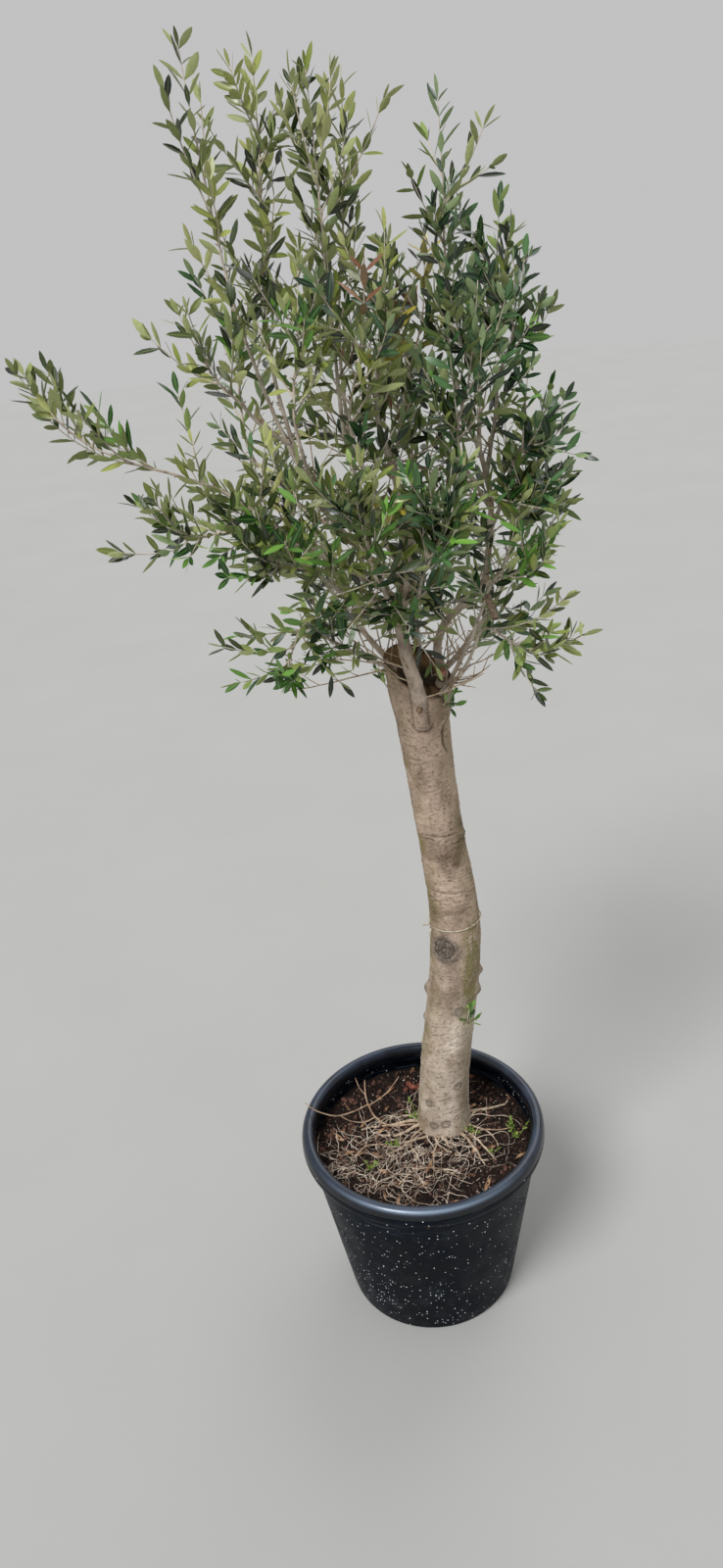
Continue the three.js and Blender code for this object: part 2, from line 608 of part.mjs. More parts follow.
const boughGroup = new THREE.Group();
boughs.forEach((bough) => {
  const keepOut = bough.parent ? boughSolid(boughs.get(bough.parent), GAP) : trunkKeepOut;
  const limb = mainBody(boughSolid(bough).subtract(keepOut));
  boughGroup.add(meshFrom(limb, `bough_${bough.name}`, FINISH.boughBark));
});

const stems = new Map([...boughs.values()].map((bough) => {
  const curve = stemCurve(bough);
  return [bough.name, { curve, line: asLine(curve, () => 0) }];
}));
const limbs = [...boughs.values()].map((bough) => asLine(bough.curve, bough.radiusAt));
const crownGroup = new THREE.Group();
boughs.forEach((bough) => crownGroup.add(growMass(bough, stems, limbs)));

const tree = new THREE.Group();
tree.add(meshFrom(trunkSolid, "trunk", FINISH.trunkBark), makeTie(), boughGroup, crownGroup);

const pottedOlive = new THREE.Group();
pottedOlive.add(makePot(), makeSoil(), tree);

export default pottedOlive;
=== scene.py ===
# %% [markdown]
# # A potted olive tree
#
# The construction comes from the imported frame: a pot, its soil, a trunk, boughs and rough solids for
# the foliage. This script dresses them. It gives the pot a smooth rolled lip, the soil its litter and
# dry roots, the trunk its bark, and the crown its real twigs and leaves. The frame is loaded first,
# because its box is the size that everything made here has to keep to.

# %% Load the frame
import json
import math
from collections import namedtuple

import bpy
import numpy as np
from mathutils import Matrix

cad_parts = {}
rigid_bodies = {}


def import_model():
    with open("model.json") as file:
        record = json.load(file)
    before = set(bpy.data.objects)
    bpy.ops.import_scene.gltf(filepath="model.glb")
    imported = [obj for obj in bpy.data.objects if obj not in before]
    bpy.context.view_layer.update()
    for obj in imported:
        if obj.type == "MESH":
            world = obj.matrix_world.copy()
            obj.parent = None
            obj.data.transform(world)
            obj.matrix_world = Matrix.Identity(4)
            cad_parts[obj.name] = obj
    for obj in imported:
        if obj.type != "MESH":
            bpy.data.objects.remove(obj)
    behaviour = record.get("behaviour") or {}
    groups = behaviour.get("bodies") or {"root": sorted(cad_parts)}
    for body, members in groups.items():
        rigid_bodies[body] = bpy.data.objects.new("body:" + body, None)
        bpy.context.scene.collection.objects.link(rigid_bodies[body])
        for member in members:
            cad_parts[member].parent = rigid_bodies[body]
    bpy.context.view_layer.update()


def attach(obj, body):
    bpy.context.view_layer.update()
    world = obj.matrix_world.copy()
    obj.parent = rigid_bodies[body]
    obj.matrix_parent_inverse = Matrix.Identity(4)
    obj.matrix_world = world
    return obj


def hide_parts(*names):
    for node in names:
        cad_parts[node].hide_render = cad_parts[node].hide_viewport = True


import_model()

MM = 0.001
UP = np.array([0.0, 0.0, 1.0])

# %% [markdown]
# ## The camera
#
# A photograph's perspective fixes how high the eye stood and how it was turned. Here they were worked
# out from the pot's round lip, which the photo shows as an ellipse, and from the trunk above it. Blender
# wants a lens in millimetres, so the focal length in pixels is scaled to a sensor 36 mm high.

# %% Camera
PHOTO_HIGH = 1600  # pixels
FOCAL_PIXELS = 1203
EYE = (-0.0587, -1.8392, 2.1508)
EYE_RIGHT = (0.9956, -0.0432, -0.0837)
EYE_DOWN = (-0.0942, -0.4566, -0.8847)


def put(name, data):
    """Links a new object that holds the data into the scene."""
    made = bpy.data.objects.new(name, data)
    bpy.context.scene.collection.objects.link(made)
    return made


def stand(thing, right, up, back, place):
    """Turns a camera or a lamp so that its own X, Y and Z point right, up and back, and puts it in place."""
    turned = np.eye(4)
    turned[:3] = np.stack([right, up, back, place], 1)
    thing.matrix_world = Matrix(turned.tolist())


def add_camera():
    """A camera looks along its own -Z with +Y up, so down and forward are turned round."""
    data = bpy.data.cameras.new("camera")
    data.sensor_fit = "VERTICAL"
    data.sensor_height = 36.0
    data.lens = FOCAL_PIXELS / PHOTO_HIGH * data.sensor_height
    right, down = np.array(EYE_RIGHT), np.array(EYE_DOWN)
    camera = put("camera", data)
    stand(camera, right, -down, -np.cross(right, down), EYE)
    bpy.context.scene.camera = camera
    print("lens", round(data.lens, 2), "mm")


add_camera()

# %% [markdown]
# ## From arrays to meshes
#
# Each piece is worked out as numpy arrays: points first, then faces as rows of point numbers. Blender
# takes both in one go with foreach_set, which is far quicker than adding them one by one.

# %% Mesh helpers


def make_mesh(name, points, faces):
    """A mesh from points in millimetres and a list of face arrays, one array for each corner count."""
    mesh = bpy.data.meshes.new(name)
    corners = np.concatenate([rows.ravel() for rows in faces])
    sizes = np.concatenate([np.full(len(rows), rows.shape[1]) for rows in faces])
    mesh.vertices.add(len(points))
    mesh.vertices.foreach_set("co", (points * MM).astype(np.float32).ravel())
    mesh.loops.add(len(corners))
    mesh.loops.foreach_set("vertex_index", corners.astype(np.int32))
    mesh.polygons.add(len(sizes))
    starts = np.concatenate([[0], np.cumsum(sizes)[:-1]])
    mesh.polygons.foreach_set("loop_start", starts.astype(np.int32))
    mesh.update(calc_edges=True)
    return mesh


def add_piece(name, points, faces, finishes, slot, stands_for=(), sides=None, facts=None, crease=60):
    """Puts a mesh in the scene as a piece of the object, with its finishes, and counts its triangles.

    sides gives each face the number of its finish, and facts gives named numbers to every point.
    """
    mesh = make_mesh(name, points, faces)
    for finish in finishes:
        mesh.materials.append(finish.material)
    if sides is not None:
        mesh.polygons.foreach_set("material_index", sides.astype(np.int32))
    for fact, values in (facts or {}).items():
        mesh.attributes.new(fact, "FLOAT", "POINT").data.foreach_set("value", values.astype(np.float32))
    mesh.shade_smooth()
    mesh.set_sharp_from_angle(angle=math.radians(crease))
    piece = put(name, mesh)
    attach(piece, "root")
    if stands_for:
        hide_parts(*stands_for)
    triangles = sum(len(rows) * (rows.shape[1] - 2) for rows in faces)
    print(f"{name}: {len(points)} points, {triangles} triangles")


def quads_round(rows, columns, closed=False):
    """Quads over rows that close round their columns, and if closed from the last row to the first.

    Row r, column c is point r * columns + c.
    """
    r, c = np.meshgrid(np.arange(rows if closed else rows - 1), np.arange(columns), indexing="ij")
    row, next_row, beside = r * columns, (r + 1) % rows * columns, (c + 1) % columns
    return np.stack([row + c, row + beside, next_row + beside, next_row + c], -1).reshape(-1, 4)


def grid_faces(rows, columns):
    """Quads over rows that close round their columns, with a single pole point at each end.

    The two poles come after the last row. The columns run anticlockwise seen from the last row's side,
    so that every face looks outward.
    """
    c = np.arange(columns)
    first, last = rows * columns, rows * columns + 1
    top = (rows - 1) * columns
    caps = np.concatenate([
        np.stack([np.full(columns, first), (c + 1) % columns, c], -1),
        np.stack([np.full(columns, last), top + c, top + (c + 1) % columns], -1),
    ])
    return [quads_round(rows, columns), caps]


def unit(vectors):
    return vectors / np.linalg.norm(vectors, axis=-1, keepdims=True)


def bell(x, width):
    """1 where x is 0, fading away to both sides over a width: e to the minus (x / width) squared."""
    return np.exp(-((x / width) ** 2))


def full_turn(steps):
    """Angles in radians at even steps round a circle."""
    return np.linspace(0, 2 * math.pi, steps, endpoint=False)


def eased(x, low, high):
    """0 below low, 1 above high, and a smooth S between them."""
    share = np.clip((x - low) / (high - low), 0, 1)
    return share * share * (3 - 2 * share)


# %% [markdown]
# ## Roughness in numbers
#
# Bark and soil need lumps of many sizes. Value noise is the simplest: every corner of a cubic grid gets
# a random number from a fixed formula, and a point blends its eight corners. Adding it up at doubled
# sizes gives a natural surface. Because the formula is fixed, each run makes the same tree.

# %% Noise


def chance(seed, count, use):
    """Repeatable numbers from 0 to 1: what is left of a large sine once its whole part is taken off."""
    wave = np.sin(seed * 12.9898 + count * 78.233 + use * 37.719) * 43758.5453
    return wave - np.floor(wave)


def noise(points, size, seed):
    """Value noise from 0 to 1. size is the grid's step along X, Y and Z, so unequal steps stretch it."""
    place = points / np.asarray(size, float)
    corner = np.floor(place)
    share = place - corner
    share = share * share * (3 - 2 * share)
    total = np.zeros(place.shape[:-1])
    for x in (0, 1):
        for y in (0, 1):
            for z in (0, 1):
                near = corner + (x, y, z)
                weight = np.abs(1 - share - (x, y, z)).prod(-1)
                mark = near[..., 0] * 1.37 + near[..., 1] * 57.13 + near[..., 2] * 113.71
                total += weight * chance(seed, mark, 1)
    return total


def layered(points, size, seed, layers=3):
    """Noise from -1 to 1 that adds layers of half the size and half the strength."""
    size = np.asarray(size, float)
    total = sum((noise(points, size / 2**i, seed + i) - 0.5) / 2**i for i in range(layers))
    return total * 2 / (2 - 0.5 ** (layers - 1))


# %% [markdown]
# ## Finishes
#
# A finish is a Principled shader fed by a few nodes. Written as node calls the sums in it are hard to
# read, so a small class wraps a socket and lets Python's own operators add the Math nodes.

# %% Sockets and finishes


class Value:
    """An output socket. The operators + - and * on it add Math nodes."""

    def __init__(self, finish, socket):
        self.finish = finish
        self.socket = socket

    def maths(self, operation, first, second):
        return self.finish.node("Math", {"operation": operation}, {0: first, 1: second})

    def __add__(self, other):
        return self.maths("ADD", self, other)

    def __radd__(self, other):
        return self.maths("ADD", other, self)

    def __sub__(self, other):
        return self.maths("SUBTRACT", self, other)

    def __rsub__(self, other):
        return self.maths("SUBTRACT", other, self)

    def __mul__(self, other):
        return self.maths("MULTIPLY", self, other)

    def __rmul__(self, other):
        return self.maths("MULTIPLY", other, self)

    def over(self, low, high):
        """0 where the value is below low, 1 above high, and a straight rise between."""
        inputs = {"Value": self, "From Min": low, "From Max": high}
        return self.finish.node("MapRange", {"clamp": True}, inputs)


class Finish:
    """A material that is built up by calls. Fixed settings go straight onto the shader's sockets."""

    def __init__(self, name, **fixed):
        self.material = bpy.data.materials.new(name)
        self.material.use_nodes = True
        self.tree = self.material.node_tree
        self.shader = self.tree.nodes["Principled BSDF"]
        for socket, value in fixed.items():
            self.feed(self.shader.inputs[socket.replace("_", " ")], value)

    def feed(self, socket, value):
        if isinstance(value, Value):
            self.tree.links.new(value.socket, socket)
        else:
            socket.default_value = value

    def node(self, kind, settings=None, inputs=None, output=0):
        """Any node: its settings first, then the values or links of its sockets, by name or number."""
        made = self.tree.nodes.new("ShaderNode" + kind)
        for setting, value in (settings or {}).items():
            if setting == "stops":
                ramp = made.color_ramp
                while len(ramp.elements) < len(value):
                    ramp.elements.new(1.0)
                for element, (place, colour) in zip(ramp.elements, value):
                    element.position, element.color = place, colour
            else:
                setattr(made, setting, value)
        for socket, value in (inputs or {}).items():
            self.feed(made.inputs[socket], value)
        return Value(self, made.outputs[output])

    def place(self, stretch=(1, 1, 1)):
        """The point on the object in metres, stretched."""
        here = self.node("TexCoord", output="Object")
        return self.node("Mapping", {"vector_type": "POINT"}, {"Vector": here, "Scale": stretch})

    def grain(self, size, detail=2.0, stretch=(1, 1, 1)):
        """Noise from 0 to 1 whose lumps are about size metres across."""
        inputs = {"Vector": self.place(stretch), "Scale": 1 / size, "Detail": detail}
        return self.node("TexNoise", None, inputs)

    def fact(self, name):
        """A named number that the mesh holds at every point."""
        return self.node("Attribute", {"attribute_name": name}, output="Fac")

    def mix(self, share, first, second):
        return self.node("Mix", {"data_type": "RGBA"}, {0: share, 6: first, 7: second}, output=2)

    def tones(self, share, first, second):
        """A blend of two colours that are given as a screen shows them."""
        return self.mix(share, tint(*first), tint(*second))

    def coated(self, skin, coats):
        """Lays coats over the skin in turn, each by its own share."""
        for share, coat in coats:
            skin = self.mix(share, skin, coat)
        return skin

    def colour(self, value):
        self.feed(self.shader.inputs["Base Color"], value)

    def rough(self, value):
        self.feed(self.shader.inputs["Roughness"], value)

    def bump(self, height, depth):
        """Turns a height from 0 to 1 into dents depth metres deep."""
        inputs = {"Height": height, "Distance": depth, "Strength": 1.0}
        self.feed(self.shader.inputs["Normal"], self.node("Bump", None, inputs))


def darker(colour, share):
    return tuple(int(part * share) for part in colour)


def tint(red, green, blue):
    """A colour as a screen shows it, 0 to 255, turned into the light values that Blender adds up."""
    screen = np.array([red, green, blue]) / 255
    light = np.where(screen <= 0.04045, screen / 12.92, ((screen + 0.055) / 1.055) ** 2.4)
    return (*light.tolist(), 1.0)


# %% [markdown]
# ## The pot
#
# A nursery pot is moulded in one piece: a tapering wall under a wide lip that is rolled outward, so it
# can be lifted. It is a surface of revolution. The profile is one closed run from the middle of the
# underside, up the wall, over the lip and down inside to the floor. The lip is a superellipse, which
# is flatter on top than a circle, as the real one is.

# %% Pot
POT_HEIGHT = 415
POT_FOOT = 176
POT_NECK = 236
LIP_MIDDLE = (236, 392)
LIP_HALF = (14, 23)
LIP_SQUARENESS = 2.3
POT_WALL = 5
POT_FLOOR = 6
LIP_ROWS = (44, 109)  # the rows of the profile that lie on the lip
SOIL_LEVEL = 358


def wall_radius(level):
    """The pot's outer radius grows evenly from its foot to the neck under the lip."""
    return POT_FOOT + (POT_NECK - POT_FOOT) * level / (POT_HEIGHT - 40)


def superellipse(turn):
    """Radius and level on the lip at an angle: |r/a|^n + |z/b|^n = 1."""
    cosine, sine = np.cos(turn), np.sin(turn)
    power = 2 / LIP_SQUARENESS
    across = LIP_HALF[0] * np.sign(cosine) * np.abs(cosine) ** power
    up = LIP_HALF[1] * np.sign(sine) * np.abs(sine) ** power
    return np.stack([LIP_MIDDLE[0] + across, LIP_MIDDLE[1] + up], -1)


def pot_profile():
    """Rounded foot, straight wall, lip from its underside over the top to the inside, inner wall."""
    turn = np.linspace(-90, 0, 9) * math.pi / 180
    foot = np.stack([POT_FOOT - 6 + 6 * np.cos(turn), 6 + 6 * np.sin(turn)], -1)
    wall_levels = np.linspace(20, 366, 30)
    wall = np.stack([wall_radius(wall_levels), wall_levels], -1)
    lip = superellipse(np.linspace(-84, 218, 64) * math.pi / 180)
    inner_levels = np.linspace(370, POT_FLOOR, 24)
    inner = np.stack([wall_radius(inner_levels) - POT_WALL, inner_levels], -1)
    bottom = np.stack([np.linspace(20, POT_FOOT - 12, 6), np.zeros(6)], -1)
    floor = np.stack([np.linspace(160, 20, 6), np.full(6, POT_FLOOR)], -1)
    return np.concatenate([bottom, foot, wall, lip, inner, floor])


def turned(profile, columns, low, high):
    """Carries a profile of (radius, level) round the Z axis, with poles at the levels low and high."""
    turn = full_turn(columns)
    radius, level = profile[:, 0, None], profile[:, 1, None]
    ring = np.stack([radius * np.cos(turn), radius * np.sin(turn), level + 0 * turn], -1)
    return np.concatenate([ring.reshape(-1, 3), [[0, 0, low], [0, 0, high]]])


def around(compass, middle):
    """Degrees from one bearing to another, the short way, from -180 to 180."""
    return (compass - middle + 180) % 360 - 180


def heading(compass, lean):
    """The unit vector at a bearing and a lean away from straight up, both in degrees."""
    compass, lean = np.broadcast_arrays(np.radians(compass), np.radians(lean))
    return np.stack([np.sin(lean) * np.cos(compass), np.sin(lean) * np.sin(compass), np.cos(lean)], -1)


def lip_finish():
    """The lip is smoother and bluer than the wall. A painted sky reflection makes it palest where it faces
    up.
    """
    finish = Finish("pot_lip_plastic", Specular_IOR_Level=0.5)
    dust = finish.grain(0.05, 5).over(0.4, 0.75)
    shell = finish.tones(dust, (5, 8, 13), (13, 18, 26))
    # Painted sky reflection: paler and bluer where the lip faces up, the dark plastic where it faces down.
    sky_sheen = finish.tones(dust, (24, 34, 49), (46, 59, 80))
    sky_sheen = finish.mix(finish.fact("upward"), shell, sky_sheen)
    # A painted highlight in pale blue along the front of the lip's outer shoulder.
    finish.colour(finish.mix(finish.fact("handled"), sky_sheen, tint(140, 158, 180)))
    finish.rough(0.2 + dust * 0.16)
    finish.bump(finish.grain(0.02, 3, (0.3, 0.3, 1.5)), 0.0006)
    return finish


SPLASHES_A_METRE = 190


def wall_finish():
    """Black plastic, a little blue, speckled with small dried splashes and scuffed in rings.

    Each cell of a fine cellular pattern may hold one splash, more often where the wall is dusty.
    """
    finish = Finish("pot_wall_plastic", Specular_IOR_Level=0.1)
    dust = finish.grain(0.09, 5).over(0.42, 0.75)
    shell = finish.tones(dust, (1, 6, 14), (6, 14, 26))
    cell = {"Vector": finish.place([SPLASHES_A_METRE] * 3), "Scale": 1.0}
    away = finish.node("TexVoronoi", None, cell)
    luck = finish.node("TexVoronoi", None, cell, output="Color")
    drawn = finish.node("SeparateColor", None, {"Color": luck})
    size = 0.15 + finish.node("SeparateColor", None, {"Color": luck}, output=1) * 0.17
    patch = finish.grain(0.1, 2).over(0.36, 0.6)
    rare = 0.96 - finish.fact("dusty") * (patch * 0.22 + 0.1)
    splash = (drawn - rare).over(0.0, 0.01) * (size - away).over(0.0, 0.05)
    film = finish.fact("dusty") * finish.grain(0.03, 6).over(0.5, 0.8)
    rubbed = finish.grain(0.006, 3, (0.1, 0.1, 2.5)).over(0.56, 0.7) * finish.fact("under_lip")
    coats = [(film * 0.5, tint(52, 56, 60)), (rubbed * 0.5, tint(70, 80, 92)), (splash, tint(232, 234, 236))]
    finish.colour(finish.coated(shell, coats))
    scuffs = finish.grain(0.006, 3, (0.12, 0.12, 1.6))
    finish.rough(0.42 + dust * 0.2 + splash * 0.3)
    finish.bump(scuffs * 0.5 + finish.grain(0.002, 2) * 0.35, 0.0006)
    return finish


# %% Dressing the pot
POT_COLUMNS = 192
SPLASHED_SIDE = -150  # the bearing that most splashes came from
# the bearing that the painted highlight on the lip is centred on, the front
HIGHLIGHT_SIDE = -96


def pot_dust(points):
    """Most dust is at the foot and on the splashed side, and some lies inside the neck."""
    level = points[:, 2]
    out = np.hypot(points[:, 0], points[:, 1])
    bearing = np.degrees(np.arctan2(points[:, 1], points[:, 0]))
    splashed = 0.45 + 0.55 * np.cos(np.radians(bearing - SPLASHED_SIDE))
    dusty = (0.3 + 0.7 * splashed) * (1.1 - eased(level, 30, 330)) + 1 - eased(level, 8, 34)
    return np.maximum(np.clip(dusty, 0, 1), 0.6 * eased(-out, -(POT_NECK - 2), -(POT_NECK - 8))), bearing


def make_pot():
    """A painted highlight: a bright line along the front of the lip, on its outer shoulder."""
    profile = pot_profile()
    points = turned(profile, POT_COLUMNS, 0, POT_FLOOR)
    dusty, bearing = pot_dust(points)
    climb = np.gradient(profile, axis=0)
    facing_up = -climb[:, 0] / np.hypot(climb[:, 0], climb[:, 1])
    # How far each row of the profile faces up. The lip's painted sky reflection follows it.
    upward = np.clip(facing_up, 0, 1) ** 1.6
    shoulder = bell(facing_up - 0.72, 0.2) * (profile[:, 0] > LIP_MIDDLE[0])
    upward_all, shoulder_all = (
        np.concatenate([np.repeat(rows, POT_COLUMNS), [0, 0]]) for rows in (upward, shoulder)
    )
    row = np.arange(len(profile) - 1)
    on_lip = (row > LIP_ROWS[0]) & (row < LIP_ROWS[1]) & (upward[:-1] > 0.01)
    sides = np.concatenate([np.repeat(on_lip, POT_COLUMNS), np.zeros(2 * POT_COLUMNS)])
    # The painted highlight: on the lip's outer shoulder, fading away from the front.
    handled = 0.85 * shoulder_all * bell(around(bearing, HIGHLIGHT_SIDE), 34)
    under_lip = eased(points[:, 2], 300, 352)
    facts = {"handled": handled, "dusty": dusty, "upward": upward_all, "under_lip": under_lip}
    finishes = [wall_finish(), lip_finish()]
    faces = grid_faces(len(profile), POT_COLUMNS)
    add_piece("pot_shell", points, faces, finishes, "black_plastic", ["pot"], sides=sides, facts=facts)


make_pot()

# %% [markdown]
# ## The trunk
#
# The trunk is one closed surface over levels and bearings. Its middle line leans and bends, and its
# radius swells at the foot and at the cut head. On top of those two smooth rules come the marks of its
# life: healed branch scars, knobs, wrinkles where the bark was squeezed, and the cracked cut face.

# %% Trunk middle and radius
TRUNK_FOOT = (49, 50)
TRUNK_TOP = (58, 62)
TRUNK_TOP_LEVEL = 1400
TRUNK_BEND = 43
BEND_LOST = 0.25
TRUNK_PROFILE = [(0, 57), (0.04, 52), (0.12, 50), (0.3, 48.5), (0.45, 48), (0.57, 45), (0.66, 42.5),
                 (0.78, 43.5), (0.88, 47), (0.95, 54), (1, 57)]
DISH = 16
CUT_DROP = 18  # the saw went through slanting: the cut's middle lies this far under the top level,
CUT_SLANT = 34  # and its rim rises and falls by this much round it,
CUT_COMPASS = 140  # highest at the back left

# Knobs: level, bearing, how far out, how high, how wide. The first carries the big scar, and the next
# five are dark.
KNOBS = [(824, -121, 6, 31, 29), (702, 172, 9, 11, 10), (745, -10, 7, 9, 8), (707, -24, 9, 12, 10),
         (632, 171, 4, 8, 8), (1064, -29, 6, 10, 8), (900, 110, 6, 22, 20), (1180, 70, 5, 18, 18),
         (560, 140, 5, 20, 18), (1240, -60, 4, 30, 16)]


def trunk_share(level):
    return (level - SOIL_LEVEL) / (TRUNK_TOP_LEVEL - SOIL_LEVEL)


def trunk_middle(level):
    """The middle line: a straight lean plus a sideways bend of sine squared, flatter above half way."""
    share = trunk_share(level)
    bend = TRUNK_BEND * (1 - BEND_LOST * eased(share, 0.45, 0.7)) * np.sin(math.pi * share) ** 2
    lean = np.array(TRUNK_FOOT) + np.asarray(share)[..., None] * (np.array(TRUNK_TOP) - TRUNK_FOOT)
    return np.stack([lean[..., 0] + bend, lean[..., 1], level + 0 * bend], -1)


def stepped(pairs, share):
    """Eases from each pair's value to the next one's."""
    total = np.full(np.shape(share), float(pairs[0][1]))
    for (low, before), (high, after) in zip(pairs, pairs[1:]):
        total += (after - before) * eased(share, low, high)
    return total


def trunk_radius(level, compass):
    """The smooth trunk: profile, a slow out-of-round, ribs on the head, and a mound for each knob."""
    share = trunk_share(level)
    radius = stepped(TRUNK_PROFILE, share)
    turn = np.radians(compass)
    radius = radius * (1 + 0.02 * np.sin(2 * turn + 0.8 + 3 * share) + 0.012 * np.sin(5 * turn + 6 * share))
    radius = radius + 3 * eased(share, 0.86, 1) * np.sin(4 * turn + 1)
    for at, bearing, out, high, wide in KNOBS:
        across = np.radians(around(compass, bearing)) * radius
        radius = radius + out * np.exp(-(((level - at) / high) ** 2) - (across / wide) ** 2)
    return radius


girth = 2 * math.pi * float(trunk_radius(SOIL_LEVEL + 500.0, 0.0))
print("trunk girth half a metre above the soil", round(girth), "mm")

# %% [markdown]
# ## Bark
#
# Young olive bark is smooth and grey-tan. What shows on it are shallow folds round the trunk, pores,
# dark patches where a branch once was, a crack under the old cut, and a green film of algae where water
# runs down. Each is a small formula in level and bearing, added to the radius, and where it needs a
# colour it is also kept as a number at every point for the finish to read.

# %% Marks on the bark
MARKS = ("scar", "moss", "lichen", "crack", "pale", "dark", "chalk")


class Bark:
    """The skin under work: the millimetres added to its radius, and the share of each mark at each point."""

    def __init__(self, points, level, compass, radius):
        self.points = points
        self.level = level
        self.compass = compass
        self.radius = radius
        self.share = trunk_share(level)
        self.relief = 0 * radius
        self.marks = {mark: 0 * radius for mark in MARKS}

    def aside(self, bearing):
        """Millimetres round the trunk from a bearing."""
        return np.radians(around(self.compass, bearing)) * self.radius

    def rough(self, size, seed, layers=3):
        return layered(self.points, size, seed, layers)

    def spot(self, at, bearing, high, wide):
        """1 at a place on the bark, fading away over its height and width."""
        return np.exp(-(((self.level - at) / high) ** 2) - (self.aside(bearing) / wide) ** 2)

    def ring(self, at, bearing, high, wide, thick):
        """1 on an oval line round a place: a healed branch scar."""
        out = np.hypot((self.level - at) / high, self.aside(bearing) / wide)
        return bell((out - 1) * high, thick)

    def mark(self, name, share):
        self.marks[name] = np.maximum(self.marks[name], share)


def skin_folds(bark):
    """Shallow folds, fine grain, pores and long ridges, and creases where the trunk was squeezed."""
    upright = bark.rough((16, 16, 120), 31, 2)
    relief = 1.1 * bark.rough((60, 60, 14), 3, 4) + 0.45 * bark.rough((7, 7, 3.2), 8)
    relief = relief + 0.9 * upright * (0.4 + 0.6 * eased(bark.share, 0.5, 1))
    relief = relief + 0.7 * eased(noise(bark.points, (5, 5, 4), 21), 0.78, 0.95)
    wrinkled = 0.35 + 0.65 * bell(bark.share - 0.6, 0.16)
    wave = bark.level / 9 + 1.6 * bark.rough((45, 45, 60), 12, 2) + 0.7 * np.sin(np.radians(bark.compass) * 2)
    broken = eased(noise(bark.points, (30, 30, 16), 17), 0.45, 0.75)
    lines = wrinkled * np.maximum(0, np.sin(2 * math.pi * wave)) ** 6 * broken
    bark.relief += relief - 1.3 * lines
    # Painted shade darkens the creases.
    bark.mark("crack", 0.8 * lines)
    bark.marks["pale"] += eased(bark.rough((26, 26, 16), 101, 4), 0.05, 0.6) * (0.35 + 0.65 * wrinkled)


# %% Scars, knobs and creases
BIG_SCAR = KNOBS[0][:2]
# level, bearing and size
RING_SCARS = [(678, -79, 9), (488, -64, 8), (445, -132, 7), (396, -92, 8), (392, -118, 8)]
# level, bearing and half the width
CREASES = [(1229, -128, 16), (1070, -100, 34), (1062, -140, 20), (948, -105, 40)]


def big_scar(bark):
    """The large dark branch scar has a rim, and rings of crumbly bark inside it."""
    inside = np.clip(2.4 * bark.spot(*BIG_SCAR, 24, 22), 0, 1)
    shells = np.sin(np.hypot(bark.level - BIG_SCAR[0], bark.aside(BIG_SCAR[1])) * 0.85)
    bark.relief += 2.2 * bark.ring(*BIG_SCAR, 28, 26, 4)
    bark.relief += inside * (2.4 * bark.rough((6, 6, 6), 44, 2) + 0.7 * shells - 0.8)
    bark.mark("scar", inside * 0.95)
    bark.mark("crack", inside * eased(-shells + 1.5 * bark.rough((5, 5, 5), 46, 2), 0.2, 0.9))


def small_scars(bark):
    """Ring scars low on the trunk, and knobs that are darker and rougher than the bark round them."""
    for at, bearing, size in RING_SCARS:
        ring = bark.ring(at, bearing, size, size, 2.4)
        bark.relief += 1.4 * ring
        bark.mark("scar", 0.5 * bark.spot(at, bearing, size * 0.9, size * 0.9) + 0.6 * ring)
    for at, bearing, _, high, wide in KNOBS[1:6]:
        spot = bark.spot(at, bearing, high, wide)
        bark.mark("scar", 0.7 * spot)
        bark.relief += 1.5 * spot * bark.rough((5, 5, 5), 51, 2)


def creases(bark):
    """Nearly straight creases left of the middle, darkened by painted shade."""
    for at, bearing, wide in CREASES:
        bent = bark.level - at - 2.5 * bark.rough((18, 18, 40), 71, 2)
        line = np.exp(-((bent / 1.7) ** 2) - (bark.aside(bearing) / wide) ** 4)
        bark.relief -= 1.3 * line
        bark.mark("crack", 0.8 * line)


# %% Split and collar at the head
COLLAR_BEARING = -96
COLLAR_LEVEL = 1312


def split_head(bark):
    """A crack winds down from the cut on the right, with a raised fold beside it."""
    path = -40 - 16 * np.sin((bark.level - 1225) / 75 * math.pi) + 6 * bark.rough((20, 20, 20), 61, 2)
    across = bark.aside(path)
    split = bell(across, 2.6) * eased(bark.level, 1228, 1246)
    fold = bell(across + 7, 5) * eased(bark.level, 1232, 1262)
    bark.relief += 2.0 * fold - 3.2 * split
    bark.mark("crack", split)


def collar(bark):
    """The front bough runs on down the bark as a ridge that ends in a U-shaped fold."""
    across = bark.aside(COLLAR_BEARING)
    ridge = np.exp(-((np.abs(across) / 12) ** 3)) * eased(bark.level, 1288, 1304)
    beside = bell(np.abs(across) - 13.5, 1.8) * eased(bark.level, 1292, 1304)
    hang = np.hypot(across / 16, (bark.level - COLLAR_LEVEL) / 21)
    lobe = bell(hang - 1, 0.12) * eased(-bark.level, -1326, -1298)
    under = bell(hang - 1.3, 0.13) * eased(-bark.level, -1320, -1292)
    bark.relief += 8 * ridge - 1.5 * beside + 3.4 * lobe - 2.0 * under
    # Painted shade in the grooves beside the ridge and under the fold.
    bark.mark("crack", 0.75 * beside)
    bark.mark("crack", 0.7 * under)


# %% Stains
TIE_LEVEL = 868


